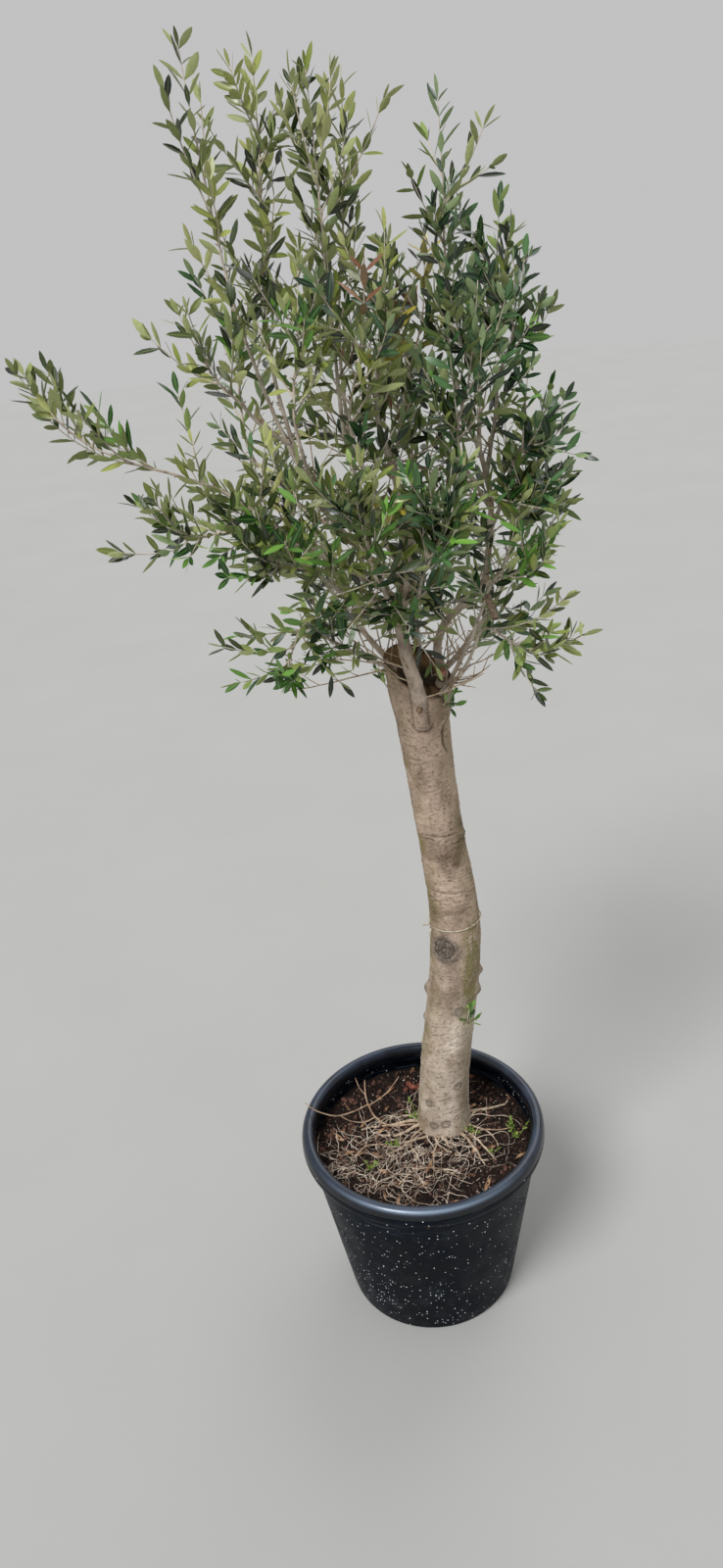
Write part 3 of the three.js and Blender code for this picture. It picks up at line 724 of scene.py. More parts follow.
def stains(bark):
    """Algae on the right where water runs down, lichen on the shaded left, pale and dark bands, chalk."""
    level, compass = bark.level, bark.compass
    stripe = bell(bark.aside(-52), 20) * eased(level, 610, 720) * eased(-level, -885, -850)
    film = 0.35 * bell(around(compass, -35), 30)
    bark.mark("moss", np.clip(stripe * (0.7 + 2.0 * bark.rough((8, 8, 24), 81)) + film, 0, 1))
    left = bell(around(compass, 190), 42)
    bark.mark("lichen", np.clip(left * (0.5 + 1.1 * bark.rough((22, 22, 22), 91, 4)), 0, 1))
    # The bark is scratched pale above the tie and bleached near the head, with a dark band over the tie.
    scratched = eased(level, 905, 935) * eased(-level, -1010, -975)
    scratched = scratched * eased(noise(bark.points, (9, 9, 4), 105), 0.45, 0.7)
    bark.marks["pale"] = np.clip(bark.marks["pale"] + scratched + 0.5 * eased(level, 1100, 1230), 0, 1)
    band = eased(level, TIE_LEVEL, TIE_LEVEL + 8) * eased(-level, -925, -900)
    bark.mark("dark", np.clip(band * (0.8 + 0.6 * bark.rough((40, 40, 60), 107)), 0, 1))
    bark.mark("chalk", bark.spot(588, -84, 50, 16) * eased(noise(bark.points, (7, 7, 5), 109), 0.5, 0.62))


# %% [markdown]
# ## The cut head
#
# The trunk was sawn off and has dried out since. The rows that climb the bark go on over the rim and in
# across the cut, where the wood has sunk into a dish with splits that run out from its middle. The dish is
# coloured dark: partly the dried wood, partly painted shade. The same grid makes both, so there is no seam.

# %% Trunk surface
BARK_ROWS = 420
BARK_COLUMNS = 168
CUT_ROWS = 22


def bark_rows(level, compass):
    """The bark's points row by row: the smooth trunk, roughened, and lifted with the cut's slant."""
    out = heading(compass, 90)
    smooth = trunk_radius(level, compass)
    middle = trunk_middle(level)
    bark = Bark(middle + smooth[..., None] * out, level, compass, smooth)
    for work in (skin_folds, big_scar, small_scars, split_head, collar, creases, stains):
        work(bark)
    rise = np.linspace(0, 1, BARK_ROWS)[:, None]
    radius = smooth + bark.relief * eased(-rise, -1.0, -0.985)
    lift = eased(trunk_share(level), 0.88, 1) * (cut_slant(compass) - CUT_DROP)
    return middle + radius[..., None] * out + lift[..., None] * UP, radius[-1:], bark.marks


def cut_slant(compass):
    return CUT_SLANT * np.cos(np.radians(around(compass, CUT_COMPASS)))


def cut_rows(rim, compass):
    """Inward over the cut: the radius shrinks and the level sinks into the dish, split by a fan of cracks."""
    inward = np.linspace(1, 0.04, CUT_ROWS)[1:, None]
    radius = rim * inward
    turn = np.radians(compass) + 0 * radius
    flat = np.stack([radius * np.cos(turn), radius * np.sin(turn), 0 * radius], -1)
    fan = np.stack([np.cos(turn) * 40, np.sin(turn) * 40, radius / 2], -1)
    splits = eased(-np.abs(layered(fan, (9, 9, 40), 111, 2)), -0.12, 0) * eased(inward, 0.1, 0.5)
    height = cut_slant(compass) * inward - CUT_DROP - DISH * (1 - inward**6) - 5 * splits
    height = height + 2.5 * layered(flat, (8, 8, 8), 121, 3) * (1 - inward**10)
    return trunk_middle(np.full(radius.shape, float(TRUNK_TOP_LEVEL))) + flat + height[..., None] * UP


def trunk_surface():
    """Rows up the bark, then rows inward over the cut. Returns points and the numbers for the finish."""
    foot = SOIL_LEVEL - 4
    rise = np.linspace(0, 1, BARK_ROWS)[:, None]
    compass = np.linspace(0, 360, BARK_COLUMNS, endpoint=False)[None, :] + 0 * rise
    bark, rim, marks = bark_rows(foot + (TRUNK_TOP_LEVEL - foot) * rise + 0 * compass, compass)
    cut = cut_rows(rim, compass[-1:])
    top = trunk_middle(np.array(float(TRUNK_TOP_LEVEL))) - UP * (DISH + CUT_DROP + 2)
    poles = [trunk_middle(np.array(float(foot))), top]
    told = {mark: (share, 0) for mark, share in marks.items()}
    told["sawn"] = eased(rise, 0.992, 1.0) + 0 * compass, 1
    told["high"] = rise + 0 * compass, 1
    facts = {}
    for name, (share, on_cut) in told.items():
        values = np.concatenate([share.ravel(), np.full(cut.shape[0] * cut.shape[1], float(on_cut))])
        facts[name] = np.concatenate([values, values[:1], values[-1:]])
    return np.concatenate([bark.reshape(-1, 3), cut.reshape(-1, 3), poles]), facts


# %% Bark colours


def bark_finish():
    """Tan skin, pale low down and browner high up, under lichen, algae, scars, cracks and specks."""
    finish = Finish("trunk_bark_skin", Specular_IOR_Level=0.25)
    mottle = finish.grain(0.045, 7, (1, 1, 0.6)).over(0.34, 0.66)
    fleck = finish.grain(0.008, 5, (1, 1, 1.5))
    speck = finish.grain(0.0035, 3)
    scarred = finish.tones(speck.over(0.4, 0.6), (62, 55, 50), (132, 122, 112))
    skin = finish.coated(finish.tones(mottle, (160, 142, 126), (222, 207, 191)), [
        (finish.fact("high").over(0.2, 0.5), finish.tones(mottle, (114, 96, 82), (198, 175, 157))),
        (finish.fact("dark") * 0.5, finish.tones(mottle, (100, 84, 70), (152, 132, 114))),
        (finish.fact("pale") * 0.6, tint(206, 182, 162)),
        (fleck.over(0.52, 0.7) * 0.7, tint(100, 80, 62)),
        (finish.fact("lichen") * 0.75, tint(118, 106, 62)),
        (finish.fact("moss") * 0.75, finish.tones(speck, (92, 90, 36), (138, 130, 72))),
        (finish.fact("scar"), scarred),
        # Dark in splits, creases and grooves: partly the dark inside of the bark, partly painted shade.
        (finish.fact("crack") * 0.8, tint(58, 46, 36)),
        (speck.over(0.6, 0.74) * 0.55, tint(78, 62, 48)),
        ((1 - speck.over(0.26, 0.4)) * 0.4, tint(214, 196, 176)),
        (finish.fact("chalk") * 0.8, tint(226, 220, 208)),
        # The sawn face is dark brown: partly the dried wood, partly painted shade in the sunken dish.
        (finish.fact("sawn"), finish.tones(mottle.over(0.35, 0.65), (58, 44, 32), (120, 94, 66))),
    ])
    finish.colour(skin)
    finish.rough(0.86)
    finish.bump(speck * 0.6 + fleck * 0.6, 0.0022)
    return finish


def make_trunk():
    points, told = trunk_surface()
    faces = grid_faces(BARK_ROWS + CUT_ROWS - 1, BARK_COLUMNS)
    add_piece("trunk_bark", points, faces, [bark_finish()], "trunk_bark", ["trunk"], facts=told, crease=80)


make_trunk()

# %% [markdown]
# ## Tubes and repeated shapes
#
# Roots, wire, boughs and twigs are all round sections carried along a path, and leaves and crumbs are one
# shape repeated. Two helpers make thousands of either as single arrays. A path's section is turned as
# little as possible from one station to the next, so that the tube doesn't twist.

# %% Tubes along paths
GOLDEN_TURN = 137.5  # degrees from shoot to shoot, so that none stands over the last few


def evenly(curve, stations):
    """As many points as asked, at equal distances along a fine curve."""
    run = np.concatenate([[0], np.cumsum(np.linalg.norm(np.diff(curve, axis=0), axis=1))])
    even = np.linspace(0, run[-1], stations)
    return np.stack([np.interp(even, run, curve[:, axis]) for axis in range(3)], -1)


def many_grids(count, rows, columns):
    """The faces of count closed grids of the same size, one after another."""
    first = np.arange(count)[:, None, None] * (rows * columns + 2)
    return [(faces[None] + first).reshape(-1, faces.shape[1]) for faces in grid_faces(rows, columns)]


def joined(shapes):
    """Several pairs of points and faces as one pair."""
    first = np.cumsum([0] + [len(points) for points, _ in shapes])
    faces = [rows + start for start, (_, some) in zip(first, shapes) for rows in some]
    return np.concatenate([points for points, _ in shapes]), faces


def tubes(paths, radii, sides, relief=None):
    """Round tubes along many paths at once: paths is (tubes, stations, 3) and radii (tubes, stations).

    A station's ring is its point plus radius times (cosine, sine) in the plane across the path. Each
    end is closed by a pole a little beyond it. relief adds millimetres to each ring's radius.
    """
    count, stations, _ = paths.shape
    ahead = unit(np.gradient(paths, axis=1))
    spare = np.where(np.abs(ahead[:, 0, 2:]) < 0.9, UP, [1.0, 0.0, 0.0])
    across = np.empty_like(ahead)
    across[:, 0] = unit(np.cross(spare, ahead[:, 0]))
    for i in range(1, stations):
        kept = across[:, i - 1]
        across[:, i] = unit(kept - (kept * ahead[:, i]).sum(-1, keepdims=True) * ahead[:, i])
    beside = np.cross(ahead, across)
    turn = full_turn(sides)
    out = across[:, :, None] * np.cos(turn)[:, None] + beside[:, :, None] * np.sin(turn)[:, None]
    radius = radii[:, :, None] * np.ones(sides)
    rings = paths[:, :, None] + radius[..., None] * out
    if relief is not None:
        rings = rings + (relief(rings, radius) * (radius > 0))[..., None] * out
    first = paths[:, :1] - ahead[:, :1] * radii[:, :1, None] * 0.5
    last = paths[:, -1:] + ahead[:, -1:] * radii[:, -1:, None] * 0.5
    points = np.concatenate([rings.reshape(count, -1, 3), first, last], 1)
    return points.reshape(-1, 3), many_grids(count, stations, sides)


def along_path(paths, share):
    """Points at shares of paths whose stations are evenly spaced. Both begin with one entry per path."""
    last = paths.shape[1] - 1
    place = np.clip(np.asarray(share, float), 0, 1) * last
    station = np.minimum(place.astype(int), last - 1)
    rest = (place - station)[..., None]
    row = np.arange(len(paths)).reshape((-1,) + (1,) * (station.ndim - 1))
    return paths[row, station] * (1 - rest) + paths[row, station + 1] * rest


# %% [markdown]
# ## Soil
#
# The compost lies in lumps and has sunk away from the wall. It is a polar grid whose rows start under
# the surface, climb the pot's wall and run in to the middle, so it's one closed solid. Crumbs of bark and
# earth lie on it as small rough pebbles, each only a few dozen faces because there are so many.

# %% Soil surface
SOIL_COLUMNS = 260
SOIL_ROWS = 96
SOIL_CLEAR = 0.6  # millimetres short of the wall
SOIL_SIDE = [(240.0, 90.0), (240.0, 999.0), (300.0, 999.0), (340.0, 999.0)]  # level, farthest out


def soil_level(x, y):
    """The ground's level: higher round the trunk, lower towards the wall, with lumps of three sizes."""
    away = np.hypot(x - TRUNK_FOOT[0], y - TRUNK_FOOT[1])
    open_ground = eased(away, 62, 130)
    flat = np.stack([x, y, 0 * x], -1)
    lumps = 5 * layered(flat, (34, 34, 34), 201, 4) + 1.6 * layered(flat, (6, 6, 6), 211, 2)
    return SOIL_LEVEL + 2.5 * (1 - open_ground) + open_ground * (lumps - 2.5)


def make_soil():
    """The rows of the side run from a flat underside up the wall, no farther out than the wall lets them."""
    reach = wall_radius(SOIL_LEVEL) - POT_WALL - SOIL_CLEAR
    turn = full_turn(SOIL_COLUMNS)
    inward = np.linspace(reach, 2, SOIL_ROWS)[:, None]
    x, y = inward * np.cos(turn), inward * np.sin(turn)
    top = np.stack([x, y, soil_level(x, y)], -1)
    level, farthest = np.array(SOIL_SIDE).T[:, :, None]
    out = np.minimum(wall_radius(level) - POT_WALL - SOIL_CLEAR, farthest)
    low = np.stack([out * np.cos(turn), out * np.sin(turn), level + 0 * turn], -1)
    poles = [[0, 0, SOIL_SIDE[0][0]], [0, 0, soil_level(0.0, 0.0)]]
    points = np.concatenate([np.concatenate([low, top]).reshape(-1, 3), poles])
    earth = Finish("compost_earth", Specular_IOR_Level=0.2)
    damp = earth.grain(0.05, 4).over(0.35, 0.65)
    crumb = earth.grain(0.006, 4).over(0.35, 0.7)
    dark = earth.tones(crumb, (6, 5, 5), (30, 21, 18))
    light = earth.tones(crumb, (12, 9, 8), (56, 39, 32))
    earth.colour(earth.mix(damp, dark, light))
    earth.rough(0.95)
    earth.bump(crumb, 0.003)
    faces = grid_faces(len(SOIL_SIDE) + SOIL_ROWS, SOIL_COLUMNS)
    add_piece("soil_surface", points, faces, [earth], "compost", ["soil"], crease=70)


make_soil()

# %% Crumbs
GOLDEN_RADIANS = 2.39996
# name, how many, seed, smallest and largest size, darkest and palest colour
CRUMBS = [
    ("soil_crumbs", 3000, 11, 1.8, 6.5, (18, 13, 11), (64, 46, 38)),
    ("bark_chips", 520, 23, 2.4, 9.0, (48, 30, 25), (112, 80, 66)),
    ("pale_bits", 420, 37, 0.9, 2.6, (170, 156, 140), (226, 216, 200)),
]


def scattered(count, seed, outer=218.0):
    """Even places over the pot's mouth, each moved by chance, without those under the trunk."""
    number = np.arange(count)
    away = np.sqrt((number + 0.5) / count) * outer + 8 * (chance(seed, number, 1) - 0.5)
    turn = number * GOLDEN_RADIANS + chance(seed, number, 2)
    x, y = away * np.cos(turn), away * np.sin(turn)
    clear = (np.hypot(x - TRUNK_FOOT[0], y - TRUNK_FOOT[1]) > 60) & (np.hypot(x, y) < 220)
    return x[clear], y[clear]


def pebbles(x, y, size, seed):
    """Rough flattened lumps of 14 points: two rings of six between two poles, each radius by chance."""
    number = np.arange(len(x))
    turn = np.radians(np.arange(6) * 60.0)
    rings = []
    for i, (up, wide) in enumerate([(-0.35, 0.9), (0.35, 0.8)]):
        radius = wide * (0.65 + 0.6 * chance(seed + i, number[:, None] * 7 + np.arange(6), 3))
        rings.append(np.stack([radius * np.cos(turn), radius * np.sin(turn), up + 0 * radius], -1))
    poles = np.array([[0, 0, -0.7], [0, 0, 0.75]]) + 0 * x[:, None, None]
    shape = np.concatenate([*rings, poles], 1) * size[:, None, None]
    shape = shape * (np.array([1.0, 0.7, 0.6]) + 0.3 * (chance(seed, number, 9)[:, None, None] - 0.5))
    spin = chance(seed, number, 4)[:, None] * 2 * math.pi
    tip = (chance(seed, number, 5)[:, None] - 0.5) * 1.6
    px, py, pz = shape[..., 0], shape[..., 1], shape[..., 2]
    px, pz = px * np.cos(tip) - pz * np.sin(tip), px * np.sin(tip) + pz * np.cos(tip)
    px, py = px * np.cos(spin) - py * np.sin(spin), px * np.sin(spin) + py * np.cos(spin)
    ground = soil_level(x, y) + 0.25 * size
    points = np.stack([px + x[:, None], py + y[:, None], pz + ground[:, None]], -1)
    return points.reshape(-1, 3), many_grids(len(x), 2, 6)


def plain_finish(name, first, second, size, rough=0.9, dent=0.0006):
    """Two close tones of one material, mixed by fine grain, with a little roughness."""
    finish = Finish(name, Specular_IOR_Level=0.25)
    grain = finish.grain(size, 4)
    finish.colour(finish.tones(grain.over(0.35, 0.65), first, second))
    finish.rough(rough)
    finish.bump(grain, dent)
    return finish


def make_crumbs():
    for name, count, seed, low, high, first, second in CRUMBS:
        x, y = scattered(count, seed)
        size = low + (high - low) * chance(seed, np.arange(len(x)), 8) ** 2.2
        finish = plain_finish(name + "_skin", first, second, 0.004)
        add_piece(name, *pebbles(x, y, size, seed), [finish], "compost", crease=35)


make_crumbs()

# %% [markdown]
# ## Dry roots
#
# The fine roots of an old pot plant come to the surface and dry there as a pale tangle, thickest in
# front of the trunk. Each root is a path that starts near the trunk, wanders, and rides up and down over
# the earth. The thicker ones go straight out from the trunk's foot.

# %% Root tangle
ROOTS_END = 221.0  # the farthest out that a root reaches
ROOTS_START = 205  # and starts
TANGLE_MIDDLE = (-26, -48)
# how many, seed, spread round the middle, shortest and longest, stations, lift, wander, thickness
TANGLES = [
    (135, 301, 165, 25, 90, 11, 12, 1.35, 0.4),
    (105, 302, 145, 60, 150, 17, 18, 1.05, 0.55),
    (34, 303, 125, 90, 190, 19, 12, 0.9, 0.95),
]
# Thick roots fan out from the trunk's foot on these bearings.
THICK_ROOTS = [-178, -165, -152, -140, -128, -118, -104, -92, -78, -60, -42, -24, -8, 14, 160]
FAN_RADIUS = 46


def wandering(x, y, bearing, length, stations, wander, seed):
    """Paths on the ground: each step turns the heading by chance, so the path curls as it goes."""
    number = np.arange(len(x))[:, None]
    step = length[:, None] / (stations - 1)
    bend = (chance(seed, number * 3.7 + np.arange(stations - 1), 2) - 0.5) * wander
    drift = (chance(seed, number, 3) - 0.5) * wander * 0.5
    way = bearing[:, None] + np.cumsum(bend + drift, 1)
    px = x[:, None] + np.concatenate([0 * number, np.cumsum(step * np.cos(way), 1)], 1)
    py = y[:, None] + np.concatenate([0 * number, np.cumsum(step * np.sin(way), 1)], 1)
    out = np.hypot(px, py)
    pull = np.minimum(1, ROOTS_END / np.maximum(out, 1e-6))
    return px * pull, py * pull


def root_paths(count, seed, spread, low, high, stations, lift, wander):
    """Roots that start round a spot in front of the trunk and lie lift millimetres over the ground."""
    number = np.arange(count)
    turn = chance(seed, number, 4) * 2 * math.pi
    away = np.sqrt(chance(seed, number, 5)) * spread
    x = TANGLE_MIDDLE[0] + away * np.cos(turn) * 1.15
    y = TANGLE_MIDDLE[1] + away * np.sin(turn) * 0.85
    pull = np.minimum(1, ROOTS_START / np.hypot(x, y))
    x, y = x * pull, y * pull
    length = low + (high - low) * chance(seed, number, 6) ** 1.5
    px, py = wandering(x, y, chance(seed, number, 7) * 2 * math.pi, length, stations, wander, seed)
    hump = np.sin(np.linspace(0, math.pi, stations)) ** 0.7
    over = lift * chance(seed, number, 8)[:, None] ** 2 * hump
    wave = 1.2 * np.sin(np.linspace(0, 9, stations) + 9 * chance(seed, number, 9)[:, None])
    z = soil_level(px, py) + 1.2 + over + wave * 0.6
    return np.stack([px, py, z], -1)


def make_fine_roots():
    pale = plain_finish("dry_root_skin", (152, 130, 114), (244, 228, 208), 0.02)
    shapes = []
    for count, seed, spread, low, high, stations, lift, wander, thick in TANGLES:
        paths = root_paths(count, seed, spread, low, high, stations, lift, wander)
        taper = np.linspace(1, 0.45, stations) * thick
        radii = taper * (0.75 + 0.5 * chance(seed, np.arange(count), 12))[:, None]
        shapes.append(tubes(paths, radii, 5))
    add_piece("fine_roots", *joined(shapes), [pale], "compost")


def make_thick_roots():
    """Each root runs out over the earth, waves a little, and dives at its end."""
    bearing = np.radians(THICK_ROOTS)
    number = np.arange(len(bearing))
    length = 60 + 80 * chance(5, number, 1)
    x = TRUNK_FOOT[0] + FAN_RADIUS * np.cos(bearing)
    y = TRUNK_FOOT[1] + FAN_RADIUS * np.sin(bearing)
    px, py = wandering(x, y, bearing, length, 16, 0.5, 401)
    share = np.linspace(0, 1, 16)
    z = soil_level(px, py) + 3.5 - 4.5 * share**2 + 1.5 * np.sin(share * 7 + number[:, None])
    swelling = 1 + 0.15 * np.sin(share * 40 + number[:, None])
    radii = (1.2 + 1.7 * chance(6, number, 2))[:, None] * (1.5 - share) * swelling
    thick = plain_finish("thick_root_skin", (138, 116, 98), (200, 182, 158), 0.012)
    add_piece("thick_roots", *tubes(np.stack([px, py, z], -1), radii, 8), [thick], "compost")


make_fine_roots()
make_thick_roots()

# %% [markdown]
# ## Dry twigs on the soil
#
# A dry forked twig leans against the left of the lip, and smaller ones lie about. They are set down point
# by point. A smooth curve goes through the points.

# %% Litter


def smooth_path(knots, stations):
    """A Catmull-Rom curve through the knots, at evenly spaced points."""
    knots = np.asarray(knots, float)
    ends = np.concatenate([[2 * knots[0] - knots[1]], knots, [2 * knots[-1] - knots[-2]]])
    share = np.linspace(0, len(knots) - 1 - 1e-6, stations * 8)
    i = share.astype(int)
    t = (share - i)[:, None]
    a, b, c, d = ends[i], ends[i + 1], ends[i + 2], ends[i + 3]
    curve = 0.5 * (2 * b + (c - a) * t + (2 * a - 5 * b + 4 * c - d) * t**2 + (3 * b - a - 3 * c + d) * t**3)
    return evenly(curve, stations)


DRY_TWIGS = [
    (2.0, [(-13, 45, 360), (-68, 42, 366), (-96, 58, 378), (-108, 79, 392), (-113, 99, 404),
           (-112, 128, 420)]),
    (1.6, [(-109, 81, 393), (-141, 65, 392), (-176, 47, 401), (-205, 41, 418), (-225, 48, 426),
           (-240, 66, 428)]),
    (1.3, [(-108, 79, 392), (-84, 92, 396), (-62, 109, 402), (-38, 138, 411)]),
    (1.2, [(-96, 58, 378), (-120, 52, 372), (-150, 66, 366), (-172, 90, 361)]),
    (1.1, [(-113, 99, 404), (-124, 112, 412), (-132, 132, 424)]),
    (1.6, [(98, -2, 361), (126, 4, 366), (158, -2, 367), (192, 8, 362)]),
    (1.2, [(-60, -120, 362), (-24, -96, 372), (24, -100, 374), (66, -122, 364)]),
    (1.1, [(-150, -40, 362), (-120, -20, 374), (-84, -24, 376), (-52, -40, 366)]),
]


def make_dry_twigs():
    dry = plain_finish("dry_twig_skin", (140, 112, 90), (198, 172, 146), 0.012)
    shapes = []
    for thick, knots in DRY_TWIGS:
        path = smooth_path(knots, 26)
        radii = thick * np.linspace(1, 0.5, 26) * (1 + 0.25 * np.sin(np.arange(26) * 2.1) ** 8)
        shapes.append(tubes(path[None], radii[None], 7))
    add_piece("dry_twigs", *joined(shapes), [dry], "compost")


make_dry_twigs()

# %% [markdown]
# ## The old tie
#
# A loop of thin wire from the nursery is still round the trunk, twisted together on the left, with what
# is left of its tag under it. The loop follows the bark's own radius, so it lies close all round.

# %% Tie
TIE_TILT = 4
TIE_WIRE = 1.1
TIE_STAND = 2.0
KNOT_AT = (863.0, -168.0)  # level and bearing
TAG_AT = (858.0, -158.0)


def bark_point(level, compass, stand):
    """A point that far outside the smooth bark, at a level and bearing."""
    turn = np.radians(compass)
    out = np.stack([np.cos(turn), np.sin(turn), 0 * turn], -1)
    return trunk_middle(level) + (trunk_radius(level, compass) + stand)[..., None] * out


def make_tie():
    compass = np.linspace(0, 360, 120, endpoint=False)
    level = TIE_LEVEL + TIE_TILT * np.cos(np.radians(compass - 20))
    ring = bark_point(level, compass, TIE_STAND)
    sides = 8
    ahead = unit(np.roll(ring, -1, 0) - np.roll(ring, 1, 0))
    out = unit(np.cross(ahead, UP))
    over = np.cross(ahead, out)
    turn = full_turn(sides)[:, None]
    points = ring[:, None] + TIE_WIRE * (out[:, None] * np.cos(turn) + over[:, None] * np.sin(turn))
    loop = (points.reshape(-1, 3), [quads_round(len(ring), sides, closed=True)])
    # The twist: two strands wound round each other, standing off the bark at the left.
    share = np.linspace(0, 1, 40)
    knot = bark_point(*np.array(KNOT_AT)[:, None], 3.0)[0]
    away = unit(np.array([-1.0, -0.45, 0.25]))
    first, second = unit(np.cross(away, UP)), unit(np.cross(away, np.cross(away, UP)))
    wound = []
    for half in (0, math.pi):
        spin = share * 14 + half
        path = knot + away * (share * 15)[:, None]
        path = path + 1.25 * (first * np.cos(spin)[:, None] + second * np.sin(spin)[:, None])
        wound.append(path)
    strands = tubes(np.array(wound), np.full((2, 40), 0.9), 7)
    # What is left of the tag: a short strip that has rolled up on itself and hangs down.
    low = bark_point(*np.array(TAG_AT)[:, None], 3.0)[0]
    down = share[:14] / share[13]
    middle = low + np.outer(down, [-2.0, -2.5, -17.0]) + np.outer(np.sin(down * 3), [-1.5, -2.0, 0.0])
    tag = tubes(middle[None], np.full((1, 14), 1.9), 6)
    wire = plain_finish("tie_wire_skin", (150, 138, 118), (206, 196, 178), 0.01, rough=0.5, dent=0.0002)
    add_piece("tie_loop", *joined([loop, strands, tag]), [wire], "tie_wire", ["old_tie"])


make_tie()

# %% [markdown]
# ## Boughs
#
# New boughs broke out round the cut head and from each other. Each is a curve from a foot to a tip that
# bows outward on its way. The table repeats the solids' own rule, so that twigs and leaves land where the
# solids are. A foot is a level, a bearing and a depth on the trunk, or a share along a parent bough.
# After the bough come its stem, which goes on from its tip, and what grows on that stem.

# %% The table of boughs
# radii are at foot and tip, way is bearing, lean, length, bow and sway, stem is bearing, lean and length,
# reach is that of the side shoots, group sets the colours, and full is the share of the twigs that stays
Bough = namedtuple("Bough", "name parent foot radii way mass stem shoots reach seed group full")
BOUGHS = [Bough(*row) for row in (
    ("front", None, (1298, -98, 0.75), (14.5, 4.8), (-155, 4, 490, -28, 46),
     "centre_yellow", (-70, 12, 225), 5, 60, 3, "yellow", 0.15),
    ("left", "front", 0.52, (6, 3), (-170, 32, 330, 44, 8),
     "whip_left_top", (-158, 10, 425), 4, 40, 12, "top", 0.05),
    ("left_top", "left", 0.76, (4, 2.8), (125, 20, 150, 10, 0),
     "top_left", (65, 6, 345), 6, 60, 5, "top", 0.18),
    ("left_shoulder", "left", 0.92, (3.4, 2.4), (-145, 46, 105, 8, 0),
     "shoulder_left", (-160, 36, 70), 3, 50, 8, "top", 0.0),
    ("left_back", "left", 0.4, (4, 2.6), (135, 64, 210, 14, 6),
     "back_left_high", (115, 8, 230), 5, 70, 9, "left", 0.0),
    ("left_inner", "left", 0.58, (3.6, 2.4), (-110, 30, 150, 12, 0),
     "inner_left", (-30, 8, 150), 5, 60, 26, "left", 0.14),
    ("leader", "front", 0.57, (5.5, 3.2), (175, 18.5, 258, 37, 4),
     "leader_top", (-115, 2, 395), 7, 60, 2, "top", 0.12),
    ("leader_back", "leader", 0.72, (4, 2.8), (95, 22, 140, 14, 0),
     "leader_right_top", (45, 8, 325), 6, 60, 6, "top", 0.10),
    ("front_high", "front", 0.7, (4, 2.6), (-130, 34, 200, 25, 0),
     "centre_front", (-50, 14, 165), 5, 60, 7, "yellow", 0.20),
    ("centre_back", "front", 0.9, (3.6, 2.6), (70, 42, 125, 12, 0),
     "centre_back_top", (40, 22, 150), 5, 60, 11, "yellow", 0.0),
    ("right", None, (1335, 5, 0.5), (8.5, 3.8), (-10, 10, 455, 140, 28),
     "right_top", (-135, 6, 385), 6, 55, 1, "right", 0.24),
    ("right_inner", "right", 0.72, (3.6, 2.4), (-125, 42, 140, 10, 0),
     "inner_right", (-70, 18, 190), 5, 60, 27, "right", 0.80),
    ("right_shoulder", "right", 0.93, (3.6, 2.6), (70, 14, 120, 8, 0),
     "shoulder_right", (30, 14, 165), 5, 60, 10, "right", 0.30),
    ("right_front", "right", 0.84, (4, 2.6), (-75, 22, 150, 10, 0),
     "right_arm", (-50, 22, 120), 5, 55, 4, "right", 0.55),
    ("right_middle", "right", 0.65, (4, 2.6), (-60, 28, 120, 12, 0),
     "middle_right", (-45, 40, 70), 3, 55, 14, "right", 0.45),
    ("right_low", "right", 0.42, (4, 2.6), (-35, 36, 120, 30, 10),
     "low_right_inner", (-30, 28, 75), 5, 60, 15, "right", 0.20),
    ("right_foot", None, (1330, -20, 0.6), (4.4, 2.6), (-40, 28, 236, 20, 0),
     "foot_right", (-30, 54, 95), 5, 60, 28, "low", 0.20),
    ("low_right", None, (1330, -45, 0.6), (3.6, 2.4), (-30, 34, 162, 20, 0),
     "hanging_right", (-30, 100, 110), 3, 45, 16, "low", 0.45),
    ("reach_left", "front", 0.48, (4.6, 2.6), (-160, 51, 325, 11, 21),
     "arm_far_left", (-175, 58, 290), 4, 60, 17, "top", 0.05),
    ("left_middle", "reach_left", 0.6, (3.4, 2.4), (-155, 68, 110, 10, 0),
     "middle_left", (-165, 80, 95), 5, 55, 18, "left", 0.25),
    ("low_left", None, (1385, 175, 0.7), (4.4, 2.4), (-150, 52, 200, 16, 0),
     "hanging_left", (-140, 126, 90), 3, 50, 19, "low", 0.10),
    ("front_left_low", "front", 0.4, (4.4, 2.6), (-140, 52, 200, 14, 0),
     "low_left_front", (-150, 60, 105), 6, 65, 24, "low", 0.50),
    ("front_low", "front", 0.45, (4.2, 2.6), (-108, 54, 180, 14, 0),
     "low_front", (-100, 24, 105), 5, 65, 29, "left", 0.75),
    ("front_right_low", "front", 0.34, (4, 2.6), (-74, 40, 170, 14, 0),
     "low_right_front", (-50, 28, 125), 5, 65, 25, "right", 1.00),
    ("back", None, (1352, 85, 0.76), (8, 4), (80, 20, 256, 30, 10),
     "back_centre", (95, 12, 400), 6, 90, 20, "left", 0.32),
    ("back_left", None, (1370, 135, 0.6), (6.5, 3), (140, 48, 220, 30, 0),
     "back_left_low", (135, 28, 210), 5, 80, 21, "left", 0.20),
    ("back_right", None, (1350, 42, 0.6), (6.5, 3), (35, 53.4, 232, 30, 0),
     "back_right_low", (35, 30, 215), 5, 80, 22, "right", 0.0),
)]
# a bend moves a bough aside: towards a bearing, by how much, within which first share of its length
BENDS = {"front": [(180, 32, 0.75), (-98, 13, 0.26)], "right": [(180, 54, 0.5), (180, 14, 0.9)]}
BOUGH_NODES = ["bough_" + bough.name for bough in BOUGHS]
MASS_NODES = [bough.mass for bough in BOUGHS]
bough_lengths = np.array([bough.way[2] for bough in BOUGHS], float)
stem_lengths = np.array([bough.stem[2] for bough in BOUGHS], float)
print(len(BOUGHS), "boughs")

# %% Bough and stem paths


